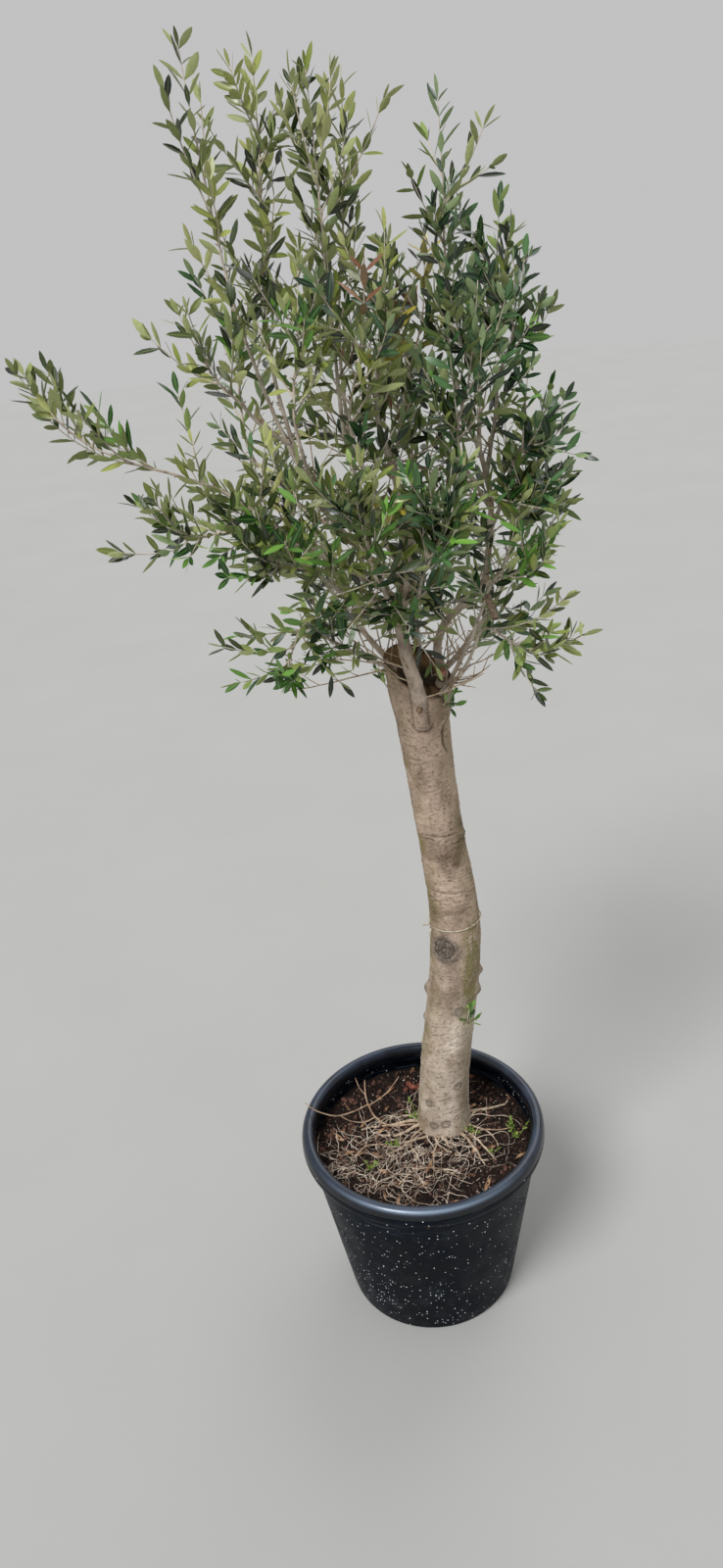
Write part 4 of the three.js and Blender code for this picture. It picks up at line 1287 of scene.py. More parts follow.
def bezier(knots, stations, bends=()):
    """A Bezier curve from repeated shares between its knots, at evenly spaced points.

    A bend moves it aside by size times sine squared, over its first reach, before the points are spaced.
    """
    share = np.linspace(0, 1, 500)[:, None]
    curves = [np.asarray(knot, float) + 0 * share for knot in knots]
    while len(curves) > 1:
        curves = [a + (b - a) * share for a, b in zip(curves, curves[1:])]
    curve = curves[0]
    for compass, size, reach in bends:
        curve = curve + heading(compass, 90) * size * np.sin(math.pi * np.minimum(1, share / reach)) ** 2
    return evenly(curve, stations)


def limb_knots(foot, compass, lean, length, bow, sway):
    """Foot, middle and tip of a limb. Bow moves the middle outward and down, and sway moves it sideways."""
    along = heading(compass, lean)
    middle = foot + along * length / 2
    middle = middle + heading(compass, lean + 90) * bow + heading(compass + 90, 90) * sway
    return [foot, middle, foot + along * length]


def wavering(path, strength, seed):
    """Moves a path sideways by smooth noise that is nothing at both ends, as if it had grown in fits."""
    share = np.linspace(0, 1, len(path))[:, None]
    off = np.stack([layered(path, (55, 55, 55), seed + k, 3) for k in range(3)], -1)
    return path + strength * off * np.sin(math.pi * share) ** 0.6


BOUGH_STATIONS = 97
STEM_STATIONS = 73


def grow_boughs():
    """Each bough's path, from its foot on the trunk or on its parent to its tip."""
    paths = {}
    for bough in BOUGHS:
        if bough.parent:
            start = along_path(paths[bough.parent][None], [bough.foot])[0]
        else:
            level, bearing, depth = bough.foot
            away = depth * trunk_radius(float(level), float(bearing))
            start = trunk_middle(np.array(float(level))) + heading(bearing, 90) * away
        path = bezier(limb_knots(start, *bough.way), BOUGH_STATIONS, BENDS.get(bough.name, ()))
        paths[bough.name] = wavering(path, min(6, bough.way[2] / 40), len(paths) * 10)
    return np.array(list(paths.values()))


def grow_stems(paths):
    """Each stem starts in its bough's direction and bends towards its own heading and a little upright."""
    stems = []
    for path, bough in zip(paths, BOUGHS):
        compass, lean, length = bough.stem
        onward = unit(path[-1] - path[-3])
        foot = path[-1] - onward * 1.0
        way = heading(compass, lean)
        tip = foot + way * length
        ending = unit(way * 0.5 + UP * 0.5)
        stem = bezier([foot, foot + onward * length / 3, tip - ending * length / 3, tip], STEM_STATIONS)
        stems.append(wavering(stem, 4, bough.seed + 500))
    return np.array(stems)


bough_paths = grow_boughs()
stem_paths = grow_stems(bough_paths)
print("tips from", bough_paths[:, -1].min(0).round(), "to", stem_paths[:, -1].max(0).round(), "mm")

# %% [markdown]
# ## Bough bark
#
# Boughs have a collar where they leave the trunk, small swellings where leaves once stood, and bark that
# changes from tan on old wood to smooth grey on young wood. The section's radius makes the first two,
# and the same radius tells the finish how old the wood is.

# %% Bough surfaces


def wood_relief(rings, radius):
    """Lumps that grow with the wood's thickness, and fine grain."""
    coarse = layered(rings, (11, 11, 18), 601, 3)
    return radius * 0.09 * coarse + 0.18 * layered(rings, (2.5, 2.5, 4), 611, 2)


def wood_finish(name):
    finish = Finish(name, Specular_IOR_Level=0.25)
    young = finish.fact("young")
    grain = finish.grain(0.007, 4)
    patch = finish.grain(0.03, 3)
    old = finish.tones(patch.over(0.35, 0.65), (146, 130, 116), (196, 180, 165))
    fresh = finish.tones(patch.over(0.35, 0.65), (168, 156, 142), (214, 203, 188))
    skin = finish.mix(young, old, fresh)
    finish.colour(finish.mix(grain.over(0.58, 0.75) * 0.5, skin, tint(88, 74, 58)))
    finish.rough(0.82)
    finish.bump(grain * 0.7 + patch * 0.3, 0.0008)
    return finish


def make_boughs():
    """A bough swells every 27 mm, and it thickens into a collar at its foot."""
    share = np.linspace(0, 1, BOUGH_STATIONS)
    along = share * bough_lengths[:, None]
    foot, tip = np.array([bough.radii for bough in BOUGHS], float).T[:, :, None]
    thicker = np.array([[0.1 if bough.name == "front" else 0.6] for bough in BOUGHS])
    thicker = thicker * foot * np.exp(-along / (foot * 2.4))
    swelling = 0.1 * bell((along + 7) % 27 - 13, 2.5)
    radii = 0.94 * (foot + (tip - foot) * share) * (1 + swelling) + thicker
    points, faces = tubes(bough_paths, radii, 14, wood_relief)
    young = np.repeat(1 - eased(radii, 2.8, 7), 14, axis=1)
    young = np.concatenate([young, young[:, :1], young[:, -1:]], 1).ravel()
    skin = wood_finish("bough_skin")
    add_piece("boughs", points, faces, [skin], "bough_bark", BOUGH_NODES, facts={"young": young})


make_boughs()

# %% [markdown]
# ## Shoots and twigs
#
# From here on the tree grows by one step, done again and again: at a share of a parent's length a twig
# leaves to one side, opens by an angle, and turns up towards the light. The first round of shoots is
# the solids' own. Each big leaf of the solids becomes a small twig with real leaves, and finer shoots
# fill in between them. All draws come from each stem's seed.

# %% Growing twigs on twigs
TWIG_STATIONS = 7
SOLIDS_LEAF = 94  # millimetres, the big leaf of the solids that each small twig stands for


def tapered(paths, foot, tip):
    """Radii along twigs, from foot to tip."""
    return np.linspace(foot, tip, TWIG_STATIONS) + np.zeros((len(paths), 1))


def ahead_at(paths, share):
    """The direction that paths run in at shares of their length."""
    return unit(along_path(paths, share + 0.02) - along_path(paths, share - 0.02))


def across_from(vectors, ahead):
    """What is left of the vectors across a direction."""
    return unit(vectors - (vectors * ahead).sum(-1, keepdims=True) * ahead)


def twigs_on(paths, share, side, opening, length, lift):
    """Twigs from many parents: share, opening and length are (parents, twigs), side is (..., 3).

    A twig is a curve through three knots: its foot, a point half its length along its start, and its tip
    after a turn towards straight up by lift.
    """
    foot = along_path(paths, share)
    ahead = ahead_at(paths, share)
    opening = np.radians(opening)[..., None]
    start = ahead * np.cos(opening) + across_from(side, ahead) * np.sin(opening)
    half = (length / 2)[..., None]
    bend = foot + start * half
    tip = bend + unit(start + UP * lift) * half
    t = np.linspace(0, 1, TWIG_STATIONS)[:, None]
    knots = [knot.reshape(-1, 1, 3) for knot in (foot, bend, tip)]
    return knots[0] * (1 - t) ** 2 + 2 * knots[1] * t * (1 - t) + knots[2] * t**2


def solids_shoots(i):
    """The side shoots of the solids on stem i, by the solids' own draws."""
    bough, seed = BOUGHS[i], BOUGHS[i].seed
    count = np.arange(bough.shoots)[None]
    share = 0.1 + 0.8 * (count + 0.5) / bough.shoots
    side = heading(count * GOLDEN_TURN + 40 * chance(seed, count, 1), 90)
    length = bough.reach * (1.05 - 0.45 * share) * (0.75 + 0.4 * chance(seed, count, 3))
    return twigs_on(stem_paths[i][None], share, side, 38 + 20 * chance(seed, count, 2), length, 0.55)


def solids_leaf_twigs(paths, pairs, first, seeds):
    """A small twig in place of each big leaf: opposite pairs, each a quarter turn on from the last."""
    seeds = np.asarray(seeds, float)[:, None]
    pair = np.arange(pairs)[None]
    share = first + (0.92 - first) * (pair / (pairs - 1) if pairs > 1 else 0.5 + 0 * pair)
    share = share + 0 * seeds
    ahead = ahead_at(paths, share)
    side = unit(np.cross(heading(360 * chance(seeds, pair, 4), 90), ahead))
    side = np.where((pair % 2 == 1)[..., None], np.cross(ahead, side), side)
    made = []
    for hand in (1, -1):
        opening = 36 + 16 * chance(seeds, pair, 5 + hand)
        length = 0.62 * SOLIDS_LEAF * (0.75 + 0.35 * chance(seeds, pair, 8 + hand))
        made.append(twigs_on(paths, share, hand * side, opening, length, 0.25))
    return np.concatenate(made)


def tip_twigs(paths):
    """A leafy twig that goes on from the end of each path, as long as the solids' big leaf there."""
    tip = np.full((len(paths), 1), 0.985)
    side = heading(360 * chance(5, np.arange(len(paths))[:, None], 9), 90)
    return twigs_on(paths, tip, side, 0 * tip + 8, 0 * tip + 0.78 * SOLIDS_LEAF, 0.35)


def filling_shoots(i, number, low, high, opening, lift, use):
    """More shoots on stem i, spread along it by the golden angle, none reaching far past its tip."""
    seed = BOUGHS[i].seed
    count = np.arange(number)[None]
    share = np.clip(0.04 + 0.9 * (count + chance(seed, count, use)) / number, 0, 0.96)
    side = heading(count * GOLDEN_TURN + 70 + 80 * chance(seed, count, use + 1), 90)
    length = (low + (high - low) * chance(seed, count, use + 2)) * (1.15 - 0.4 * share)
    length = np.minimum(length, (1 - share) * stem_lengths[i] + 62)
    angle = opening + 18 * chance(seed, count, use + 3)
    return twigs_on(stem_paths[i][None], share, side, angle, length, lift)


# leafier boughs: the share of the length where leaves begin, and the millimetres between twigs
LEAFY_BOUGHS = {
    "low_left": (0.38, 12), "front_left_low": (0.1, 14), "front_low": (0.14, 13),
    "front_right_low": (0.1, 12), "right": (0.3, 17), "right_foot": (0.36, 26),
    "right_inner": (0.1, 14), "right_middle": (0.1, 26),
    "front": (0.5, 20), "leader": (0.12, 22), "front_high": (0.15, 20),
    "reach_left": (0.28, 15), "left_middle": (0.1, 17),
    "back": (0.3, 12), "back_left": (0.35, 12), "back_right": (0.35, 12),
    "centre_back": (0.1, 12), "leader_back": (0.1, 14), "left_back": (0.3, 16),
}


def bough_twigs(i):
    """Leafy twigs along the outer part of bough i, one every 34 mm unless it is a leafier one.

    On a leafier one the twigs near its foot stand out level or hang, and those near its tip point up.
    """
    bough, seed = BOUGHS[i], BOUGHS[i].seed + 40
    leafier = bough.name in LEAFY_BOUGHS
    first, every = LEAFY_BOUGHS.get(bough.name, (0.42 if bough.parent is None else 0.26, 34))
    number = max(2, int(bough_lengths[i] * (0.98 - first) / every))
    count = np.arange(number)[None]
    share = first + (0.98 - first) * (count + chance(seed, count, 1)) / number
    side = heading(count * GOLDEN_TURN + 60 * chance(seed, count, 2), 90)
    long = 55 + 70 * chance(seed, count, 3)
    opening = 36 + 26 * chance(seed, count, 4) + leafier * 55 * (1 - share) ** 2
    return twigs_on(bough_paths[i][None], share, side, opening, long, 0.1 if leafier else 0.5)


# %% All the wood of the crown
# Stems that are barer than the rest, and how many times wider apart their own leaves stand
SPARSE_STEMS = {"arm_far_left": 2}


def thinned(paths, full, seed):
    """Keeps about a share full of the twigs, so that the crown stays open where the real one is."""
    return paths[chance(seed, np.arange(len(paths)), 90) < full]


sprays = []  # each: twig paths, radius at the foot, radius at the tip, number of leaf pairs, mass number
for i, bough in enumerate(BOUGHS):
    stem, seed, full = stem_paths[i][None], bough.seed, bough.full
    shoots = solids_shoots(i)
    pairs = max(1, round(stem_lengths[i] / 95))
    sprays.append((shoots, 1.9, 1.0, 3, i))
    sprays.append((tip_twigs(np.concatenate([stem[:, ::12], shoots])), 1.0, 0.7, 4, i))
    long, short = max(3, int(stem_lengths[i] / 45)), max(2, int(stem_lengths[i] / 60))
    on_bough = max(full, 0.8) if bough.name in LEAFY_BOUGHS else full
    small = [
        (solids_leaf_twigs(stem, pairs, 0.25, [seed * 100]), 1.1, 0.7, 3, full),
        (solids_leaf_twigs(shoots, 1, 0.6, seed * 100 + 1 + np.arange(len(shoots))), 1.0, 0.7, 3, full),
        (filling_shoots(i, long, 100, 190, 12, 1.1, 20), 1.4, 0.8, 8, full),
        (filling_shoots(i, short, 38, 80, 30, 0.5, 30), 1.1, 0.7, 4, full),
        (bough_twigs(i), 1.4, 0.8, 5, on_bough),
    ]
    for use, (paths, foot, tip, leaf_count, kept) in enumerate(small):
        sprays.append((thinned(paths, kept, seed + 7 * use), foot, tip, leaf_count, i))

# %% Sprouts on the trunk
# level, bearing, length, how far they lean outward
TRUNK_SPROUTS = [(1326, -52, 40, 50), (1318, -44, 26, 75), (640, -52, 36, 16), (632, -46, 26, 50),
                 (1352, -176, 34, 30)]


def sprout_paths():
    """Young sprouts straight from the bark, which turn up a little along their length."""
    level, bearing, length, lean = np.array(TRUNK_SPROUTS, float).T
    foot = trunk_middle(level) + heading(bearing, 90) * (trunk_radius(level, bearing) - 1)[:, None]
    way = heading(bearing, lean) * length[:, None]
    share = np.linspace(0, 1, TWIG_STATIONS)[:, None]
    return foot[:, None] + way[:, None] * share + (UP * 0.25 * length[:, None])[:, None] * share**2


sprouts = sprout_paths()
sprays.append((sprouts, 1.1, 0.7, 3, MASS_NODES.index("hanging_left")))
sprays = [spray for spray in sprays if len(spray[0])]
print(sum(len(spray[0]) for spray in sprays), "leafy twigs")

# %% Stems and leafy twigs


def make_twigs():
    """Stems as smooth tubes and all the shoots as thin ones."""
    share = np.linspace(0, 1, STEM_STATIONS)
    feet = np.array([bough.radii[1] for bough in BOUGHS])[:, None]
    stem_radii = feet * 0.97 + (1.0 - feet * 0.97) * share**0.85
    along = share * stem_lengths[:, None]
    stem_radii = stem_radii * (1 + 0.16 * bell((along + 5) % 19 - 9, 1.8))
    stems = tubes(stem_paths, stem_radii, 8)
    shapes = [stems]
    young = [np.full(len(stems[0]), 0.6)]
    for paths, foot, tip, _, _ in sprays:
        shapes.append(tubes(paths, tapered(paths, foot, tip), 5))
        young.append(np.ones(len(shapes[-1][0])))
    points, faces = joined(shapes)
    young = np.concatenate(young)
    skin = wood_finish("twig_skin")
    add_piece("twigs", points, faces, [skin], "bough_bark", MASS_NODES, facts={"young": young})


make_twigs()

# %% [markdown]
# ## Bare twigs at the head
#
# Round the cut head many thin twigs have lost their leaves in the shade. They cross each other between
# the boughs, some long and listed one by one, most dealt out by the seeded rule, and a few thick ones end
# in old pruning cuts. Where a twig has died back, it leaves a spur a few millimetres long.

# %% Bare twigs


def make_bare_twigs():
    shapes = []
    for i, bough in enumerate(BOUGHS):
        seed, number = bough.seed + 80, 4 if bough.parent is None else 2
        count = np.arange(number)[None]
        share = 0.05 + 0.38 * (count + chance(seed, count, 1)) / number
        side = heading(count * GOLDEN_TURN + 360 * chance(seed, count, 2), 62)
        length = 40 + 100 * chance(seed, count, 3) ** 1.5
        twigs = twigs_on(bough_paths[i][None], share, side, 26 + 44 * chance(seed, count, 4), length, 0.8)
        shapes.append(tubes(twigs, tapered(twigs, 1.5, 0.7), 6))
        which = np.arange(len(twigs))[:, None]
        fork = 0.35 + 0.4 * chance(seed, which, 5)
        side = heading(360 * chance(seed, which, 6), 90)
        forks = twigs_on(twigs, fork, side, 0 * fork + 42, 22 + 40 * chance(seed, which, 7), 0.3)
        shapes.append(tubes(forks, tapered(forks, 0.9, 0.5), 5))
    bare = plain_finish("bare_twig_skin", (134, 112, 88), (186, 164, 134), 0.008)
    add_piece("bare_twigs", *joined(shapes), [bare], "bough_bark")


make_bare_twigs()

# %% Long bare twigs, stubs and spurs
LONG_STATIONS = 31
STUB_STATIONS = 14
STUB_SIDES = 14
# bough, share of its length, (bearing, lean, length, bow, sway), radius
LONG_TWIGS = [
    ("low_left", 0.06, (-165, 92, 190, 10, -12), 1.5), ("low_left", 0.12, (170, 84, 150, -14, 8), 1.3),
    ("front", 0.47, (-168, 62, 215, 12, 10), 2.2), ("front", 0.42, (-150, 66, 150, 16, -14), 1.6),
    ("front", 0.22, (-172, 52, 150, 8, -10), 1.7), ("front", 0.16, (-140, 56, 120, -10, 16), 1.4),
    ("right", 0.24, (-172, 66, 120, 30, 14), 2.0), ("front", 0.30, (-40, 58, 130, 14, 10), 1.6),
    ("front", 0.12, (-20, 66, 95, 10, -8), 1.5), ("right", 0.12, (-80, 60, 120, -8, 12), 1.6),
    ("right_foot", 0.30, (-20, 60, 130, 16, 10), 1.4), ("low_right", 0.20, (-60, 70, 90, -14, -8), 1.3),
    ("right", 0.30, (-150, 34, 150, 14, 20), 1.8), ("back_right", 0.20, (10, 66, 140, 10, 12), 1.5),
    ("front", 0.36, (-100, 62, 100, -12, 12), 1.5), ("back", 0.15, (-30, 40, 150, 12, 16), 1.8),
]
# bough, share, (bearing, lean, length), radius at foot and end, the colour of the end
STUBS = [
    ("front", 0.50, (-150, 26, 40), (8, 6.5), (150, 84, 68)),
    ("right", 0.06, (-96, 58, 46), (9, 8.5), (176, 124, 104)),
    ("right_foot", 0.97, (-60, 150, 44), (6, 5), (104, 74, 54)),
    ("front", 0.06, (-99, 74, 27), (8, 5.5), (126, 104, 84)),
    ("low_left", 0.03, (-120, 40, 34), (4, 3.4), (128, 96, 70)),
]


def named_feet(rows):
    """The points that rows start from, by the bough's name and a share of its length."""
    names = [bough.name for bough in BOUGHS]
    return np.array([along_path(bough_paths[[names.index(name)]], [share])[0] for name, share, *_ in rows])


def make_long_twigs():
    paths = []
    for foot, (_, _, way, _) in zip(named_feet(LONG_TWIGS), LONG_TWIGS):
        paths.append(wavering(bezier(limb_knots(foot, *way), LONG_STATIONS), 5, way[2]))
    radii = np.array([radius for *_, radius in LONG_TWIGS])[:, None] * np.linspace(1, 0.45, LONG_STATIONS)
    radii = radii * (1 + 0.3 * np.maximum(0, np.sin(np.arange(LONG_STATIONS) * 1.9)) ** 10)
    skin = plain_finish("long_twig_skin", (152, 132, 110), (204, 186, 160), 0.01)
    share = np.linspace(0.3, 0.85, 4) + np.zeros((len(paths), 1))
    seed = np.arange(len(paths))[:, None] + 0 * share
    side = heading(seed * 97.0 + share * 720, 70)
    length = 14 + 44 * chance(seed, share, 4)
    short = twigs_on(np.array(paths), share, side, 30 + 30 * chance(seed, share, 3), length, 0.4)
    forks = tubes(short, tapered(short, 0.9, 0.5), 5)
    add_piece("long_twigs", *joined([tubes(np.array(paths), radii, 7), forks]), [skin], "bough_bark")


def make_stubs():
    """Short tubes with an uneven skin. The sawn end is the last ring and its pole, told to the finish."""
    for number, (foot, row) in enumerate(zip(named_feet(STUBS), STUBS)):
        _, _, (compass, lean, length), (low, high), colour = row
        share = np.linspace(0, 1, STUB_STATIONS)[:, None]
        path = foot + heading(compass, lean) * length * share + UP * 3 * share**2
        radii = (low + (high - low) * share[:, 0]) * (1 + 0.05 * np.sin(share[:, 0] * 17))
        points, faces = tubes(path[None], radii[None], STUB_SIDES, wood_relief)
        end = np.zeros(len(points))
        end[-STUB_SIDES - 2:-2] = 0.6
        end[-1] = 1
        finish = Finish(f"stub_{number + 1}_skin", Specular_IOR_Level=0.25)
        grain = finish.grain(0.006, 4)
        bark = finish.tones(grain.over(0.35, 0.65), (112, 94, 78), (168, 148, 128))
        sawn = finish.tones(grain.over(0.4, 0.6), darker(colour, 0.6), colour)
        finish.colour(finish.mix(finish.fact("end").over(0.4, 0.6), bark, sawn))
        finish.rough(0.85)
        finish.bump(grain, 0.0012)
        add_piece(f"stub_{number + 1}", points, faces, [finish], "bough_bark", facts={"end": end})


def make_spurs():
    """Spurs stand square on boughs and stems, at even shares with a little chance, 4 to 10 mm long."""
    skin = plain_finish("spur_skin", (128, 110, 92), (184, 166, 144), 0.006)
    shapes = []
    for seed, paths, number, ends in (
        (21, bough_paths, 16, [bough.radii for bough in BOUGHS]),
        (22, stem_paths, 12, [(bough.radii[1], 1.2) for bough in BOUGHS]),
    ):
        count = np.arange(number)[None] + 0.0 * np.arange(len(paths))[:, None]
        which = np.arange(len(paths))[:, None] + 0.0 * count
        share = 0.04 + 0.92 * (count + chance(seed + which, count, 1)) / number
        foot, tip = np.array(ends, float).T[:, :, None]
        length = foot + (tip - foot) * share + 2.5 + 6 * chance(seed + which, count, 3)
        side = heading(360 * chance(seed + which, count, 2), 90)
        spurs = twigs_on(paths, share, side, 55 + 30 * chance(seed + which, count, 4), length, 0.15)[:, ::3]
        thick = np.array([1.7, 1.3, 0.9]) * (0.7 + 0.5 * chance(seed, np.arange(len(spurs)), 5))[:, None]
        shapes.append(tubes(spurs, thick, 6))
    add_piece("spurs", *joined(shapes), [skin], "bough_bark")


make_long_twigs()
make_stubs()
make_spurs()

# %% [markdown]
# ## Leaves
#
# An olive leaf is narrow and leathery, dark and a little glossy above, and silvery below from tiny
# scales. Leaves stand in opposite pairs, each pair turned a quarter from the one below. One leaf is a
# ring of four points at four stations, closed by a point at each end: 32 triangles, with a folded
# midrib, a bent tip and a real underside that takes its own colour.

# %% Where the leaves stand
LEAF_LENGTH = 41
LEAF_WIDTH = 10.2
LEAF_THICK = 0.45
PAIR_EVERY = 23  # millimetres between the pairs on a stem
SPROUT_LEAF = 27


def leaf_pairs(paths, pairs, first, last, seeds, size, spray):
    """Opposite leaves along many twigs. Returns roots, directions, top sides, lengths and sprays.

    Each pair opens by its own angle. A leaf's top side is turned towards the twig and rolled by chance.
    """
    seeds = np.asarray(seeds, float)[:, None]
    pair = np.arange(pairs)[None] + 0 * seeds
    share = first + (last - first) * (pair + 0.5 * (chance(seeds, pair, 50) - 0.5)) / max(1, pairs - 1)
    share = np.clip(share, 0, 0.97)
    root = along_path(paths, share)
    ahead = ahead_at(paths, share)
    base = heading(360 * chance(seeds, 0 * pair, 51), 90)
    side = across_from(base + 0.2 * UP, ahead)
    quarter = np.cross(ahead, side)
    side = np.where((pair % 2 == 1)[..., None], quarter, side)
    made = []
    for hand in (1, -1):
        opening = np.radians(22 + 42 * chance(seeds, pair, 52 + hand))[..., None]
        way = ahead * np.cos(opening) + hand * side * np.sin(opening)
        way = unit(way + UP * 0.1)
        top = across_from(ahead, way)
        roll = (chance(seeds, pair, 55 + hand) - 0.5)[..., None] * 2.6
        top = top * np.cos(roll) + np.cross(way, top) * np.sin(roll)
        length = size * (0.72 + 0.42 * chance(seeds, pair, 58 + hand)) * (1.06 - 0.3 * share**3)
        kept = chance(seeds, pair, 61 + hand) > 0.1
        made.append([v[kept] for v in (root, way, top, length, spray[:, None] + 0 * pair)])
    tip = np.full((len(paths), 1), 1.0)
    way = ahead_at(paths, tip - 0.02)
    top = across_from(heading(360 * chance(seeds, 0 * tip, 66), 60), way)
    length = size * (0.55 + 0.35 * chance(seeds, 0 * tip, 67))
    end = along_path(paths, tip)
    made.append([v.reshape((-1,) + v.shape[2:]) for v in (end, way, top, length, spray[:, None] + 0 * tip)])
    return [np.concatenate(parts) for parts in zip(*made)]


def all_leaves():
    """Leaves on the stems themselves, then on every twig. A spray is one twig's leaves."""
    batches = []
    spray_mass = []
    for i, bough in enumerate(BOUGHS):
        spray = np.array([float(len(spray_mass))])
        spray_mass.append(i)
        pairs = int(stem_lengths[i] / PAIR_EVERY / SPARSE_STEMS.get(bough.mass, 1))
        seeds = [bough.seed * 31]
        batches.append(leaf_pairs(stem_paths[i][None], pairs, 0.1, 0.98, seeds, LEAF_LENGTH, spray))
    for paths, _, _, pairs, i in sprays:
        number = np.arange(len(paths)) + len(spray_mass)
        spray_mass.extend([i] * len(paths))
        first = 0.22 if pairs > 3 else 0.3
        size = SPROUT_LEAF if paths is sprouts else LEAF_LENGTH
        batches.append(leaf_pairs(paths, pairs, first, 0.95, number * 1.7 + 3, size, number * 1.0))
    return [np.concatenate(parts) for parts in zip(*batches)], np.array(spray_mass)


(leaf_root, leaf_way, leaf_top, leaf_long, leaf_spray), spray_mass = all_leaves()
print(len(leaf_root), "leaves on", len(spray_mass), "sprays")

# %% [markdown]
# ## Dealing out the colours
#
# A tree's leaves aren't one green. Old ones are dark, young ones at the top are yellowish, those low
# down in the shade are fresh green, and those on the cool side look blue. Each spray draws one kind of
# leaf, with odds that belong to its part of the crown.

# %% Kinds of leaf
# kind: the colour above, the second tone above, the colour below
KINDS = {
    "dark": ((12, 24, 6), (74, 94, 34), (142, 154, 98)),
    "middle": ((32, 48, 10), (136, 150, 70), (182, 190, 132)),
    "olive": ((70, 80, 24), (160, 168, 90), (192, 196, 136)),
    "blue": ((8, 36, 14), (76, 118, 64), (152, 172, 124)),
    "fresh": ((20, 62, 10), (108, 158, 58), (160, 182, 108)),
    "young": ((98, 106, 38), (166, 174, 90), (188, 194, 124)),
    "yellow": ((160, 148, 54), (180, 166, 74), (174, 164, 98)),
    "rust": ((116, 78, 54), (142, 102, 74), (146, 122, 94)),
}
# odds of dark, middle, olive, blue, fresh, young, yellow, rust
ODDS = {
    "top": (34, 34, 18, 2, 2, 10, 0, 0),
    "left": (36, 32, 8, 10, 12, 2, 0, 0),
    "yellow": (24, 22, 15, 13, 4, 8, 6, 8),
    "right": (20, 12, 2, 50, 16, 0, 0, 0),
    "low": (18, 18, 3, 16, 45, 0, 0, 0),
}


def deal_kinds():
    """One kind for each spray: the first whose running total of odds passes the spray's draw."""
    odds = np.array([ODDS[BOUGHS[mass].group] for mass in spray_mass], float)
    total = np.cumsum(odds, 1) / odds.sum(1, keepdims=True)
    draw = chance(7.0, np.arange(len(spray_mass)), 70)
    kinds = (draw[:, None] > total).sum(1)
    kinds[-len(sprouts):] = list(KINDS).index("fresh")  # the trunk's sprouts, the last ones, are young
    return kinds


spray_kind = deal_kinds()
for name, count in zip(KINDS, np.bincount(spray_kind, minlength=len(KINDS))):
    print(name, count, "sprays")

# %% Leaf surfaces
# share of the length, and half the width there as a share of the widest
LEAF_STATIONS = [(0.1, 0.3), (0.34, 0.92), (0.62, 1.0), (0.86, 0.58)]
LEAF_GRID = (len(LEAF_STATIONS), 4)


def leaf_points(root, way, top, length, number):
    """Rings of left edge, midrib, right edge and underside at each station, then the two ends.

    With t the share of the length: ahead t, sideways the half width, and up by the fold, less a curl that
    grows with t squared. The fold, curl, width and sideways bend of each leaf come by chance.
    """
    side = np.cross(top, way)
    t, half = np.array(LEAF_STATIONS).T
    wide = LEAF_WIDTH / 2 * (0.8 + 0.4 * chance(1.0, number, 80)) * np.sqrt(length / LEAF_LENGTH)
    fold = 0.42 * chance(2.0, number, 81) - 0.08
    curl = 0.3 * chance(3.0, number, 82) - 0.06
    sickle = 0.16 * (chance(4.0, number, 83) - 0.5)
    left_right = np.array([1.0, 0.0, -1.0, 0.0])
    low = np.array([0.0, 1.0, 0.0, 1.0])
    under = np.array([0.0, 0.0, 0.0, 1.0])
    width = wide[:, None] * half
    ahead = (length[:, None] * t)[..., None] + np.zeros(4)
    bend = (length * sickle)[:, None] * t**2
    sideways = width[..., None] * left_right + bend[..., None]
    droop = (length * curl)[:, None] * t**2
    up = -(fold[:, None] * width)[..., None] * low - droop[..., None] - LEAF_THICK * under
    local = np.stack([ahead, sideways, up], -1).reshape(len(root), 16, 3)
    ends = np.zeros((len(root), 2, 3))
    ends[:, 0, 0] = -1.0
    ends[:, 1] = np.stack([length, length * sickle, -length * curl - LEAF_THICK / 2], -1)
    local = np.concatenate([local, ends], 1)
    axes = np.stack([way, side, top], 1)
    return (root[:, None] + local @ axes).reshape(-1, 3)


def leaf_finishes(kind, first, second, below):
    """Upper and lower skin: two tones above with a paler midrib, and a matt silvery underside."""
    upper = Finish(f"leaf_{kind}_upper", Specular_IOR_Level=0.6)
    tone = upper.fact("tone")
    pale = tuple(min(255, v + 34) for v in second)
    rib = upper.fact("midrib").over(0.84, 0.98) * 0.45
    upper.colour(upper.mix(rib, upper.tones(tone.over(0.35, 0.95), first, second), tint(*pale)))
    upper.rough(0.26 + tone * 0.12)
    lower = Finish(f"leaf_{kind}_lower", Specular_IOR_Level=0.3)
    dusty = lower.grain(0.004, 3).over(0.3, 0.7)
    lower.colour(lower.tones(dusty, darker(below, 0.9), below))
    lower.rough(0.75)
    return [upper, lower]


def make_leaves():
    number = np.arange(len(leaf_root))
    kinds = spray_kind[leaf_spray.astype(int)]
    for index, (kind, colours) in enumerate(KINDS.items()):
        chosen = kinds == index
        if not chosen.any():
            continue
        parts = (leaf_root, leaf_way, leaf_top, leaf_long, number)
        points = leaf_points(*(part[chosen] for part in parts))
        count = int(chosen.sum())
        faces = many_grids(count, *LEAF_GRID)
        sides = np.concatenate([np.tile([0, 0, 1, 1], len(rows) // 4) for rows in faces])
        midrib = np.tile(np.concatenate([np.tile([0.0, 1.0, 0.0, 1.0], 4), [1.0, 1.0]]), count)
        finishes = leaf_finishes(kind, *colours)
        tone = np.repeat(chance(9.0, number[chosen], 84), len(points) // count)
        facts = {"midrib": midrib, "tone": tone}
        name = f"leaves_{kind}"
        add_piece(name, points, faces, finishes, "foliage", MASS_NODES, sides=sides, facts=facts, crease=50)


make_leaves()

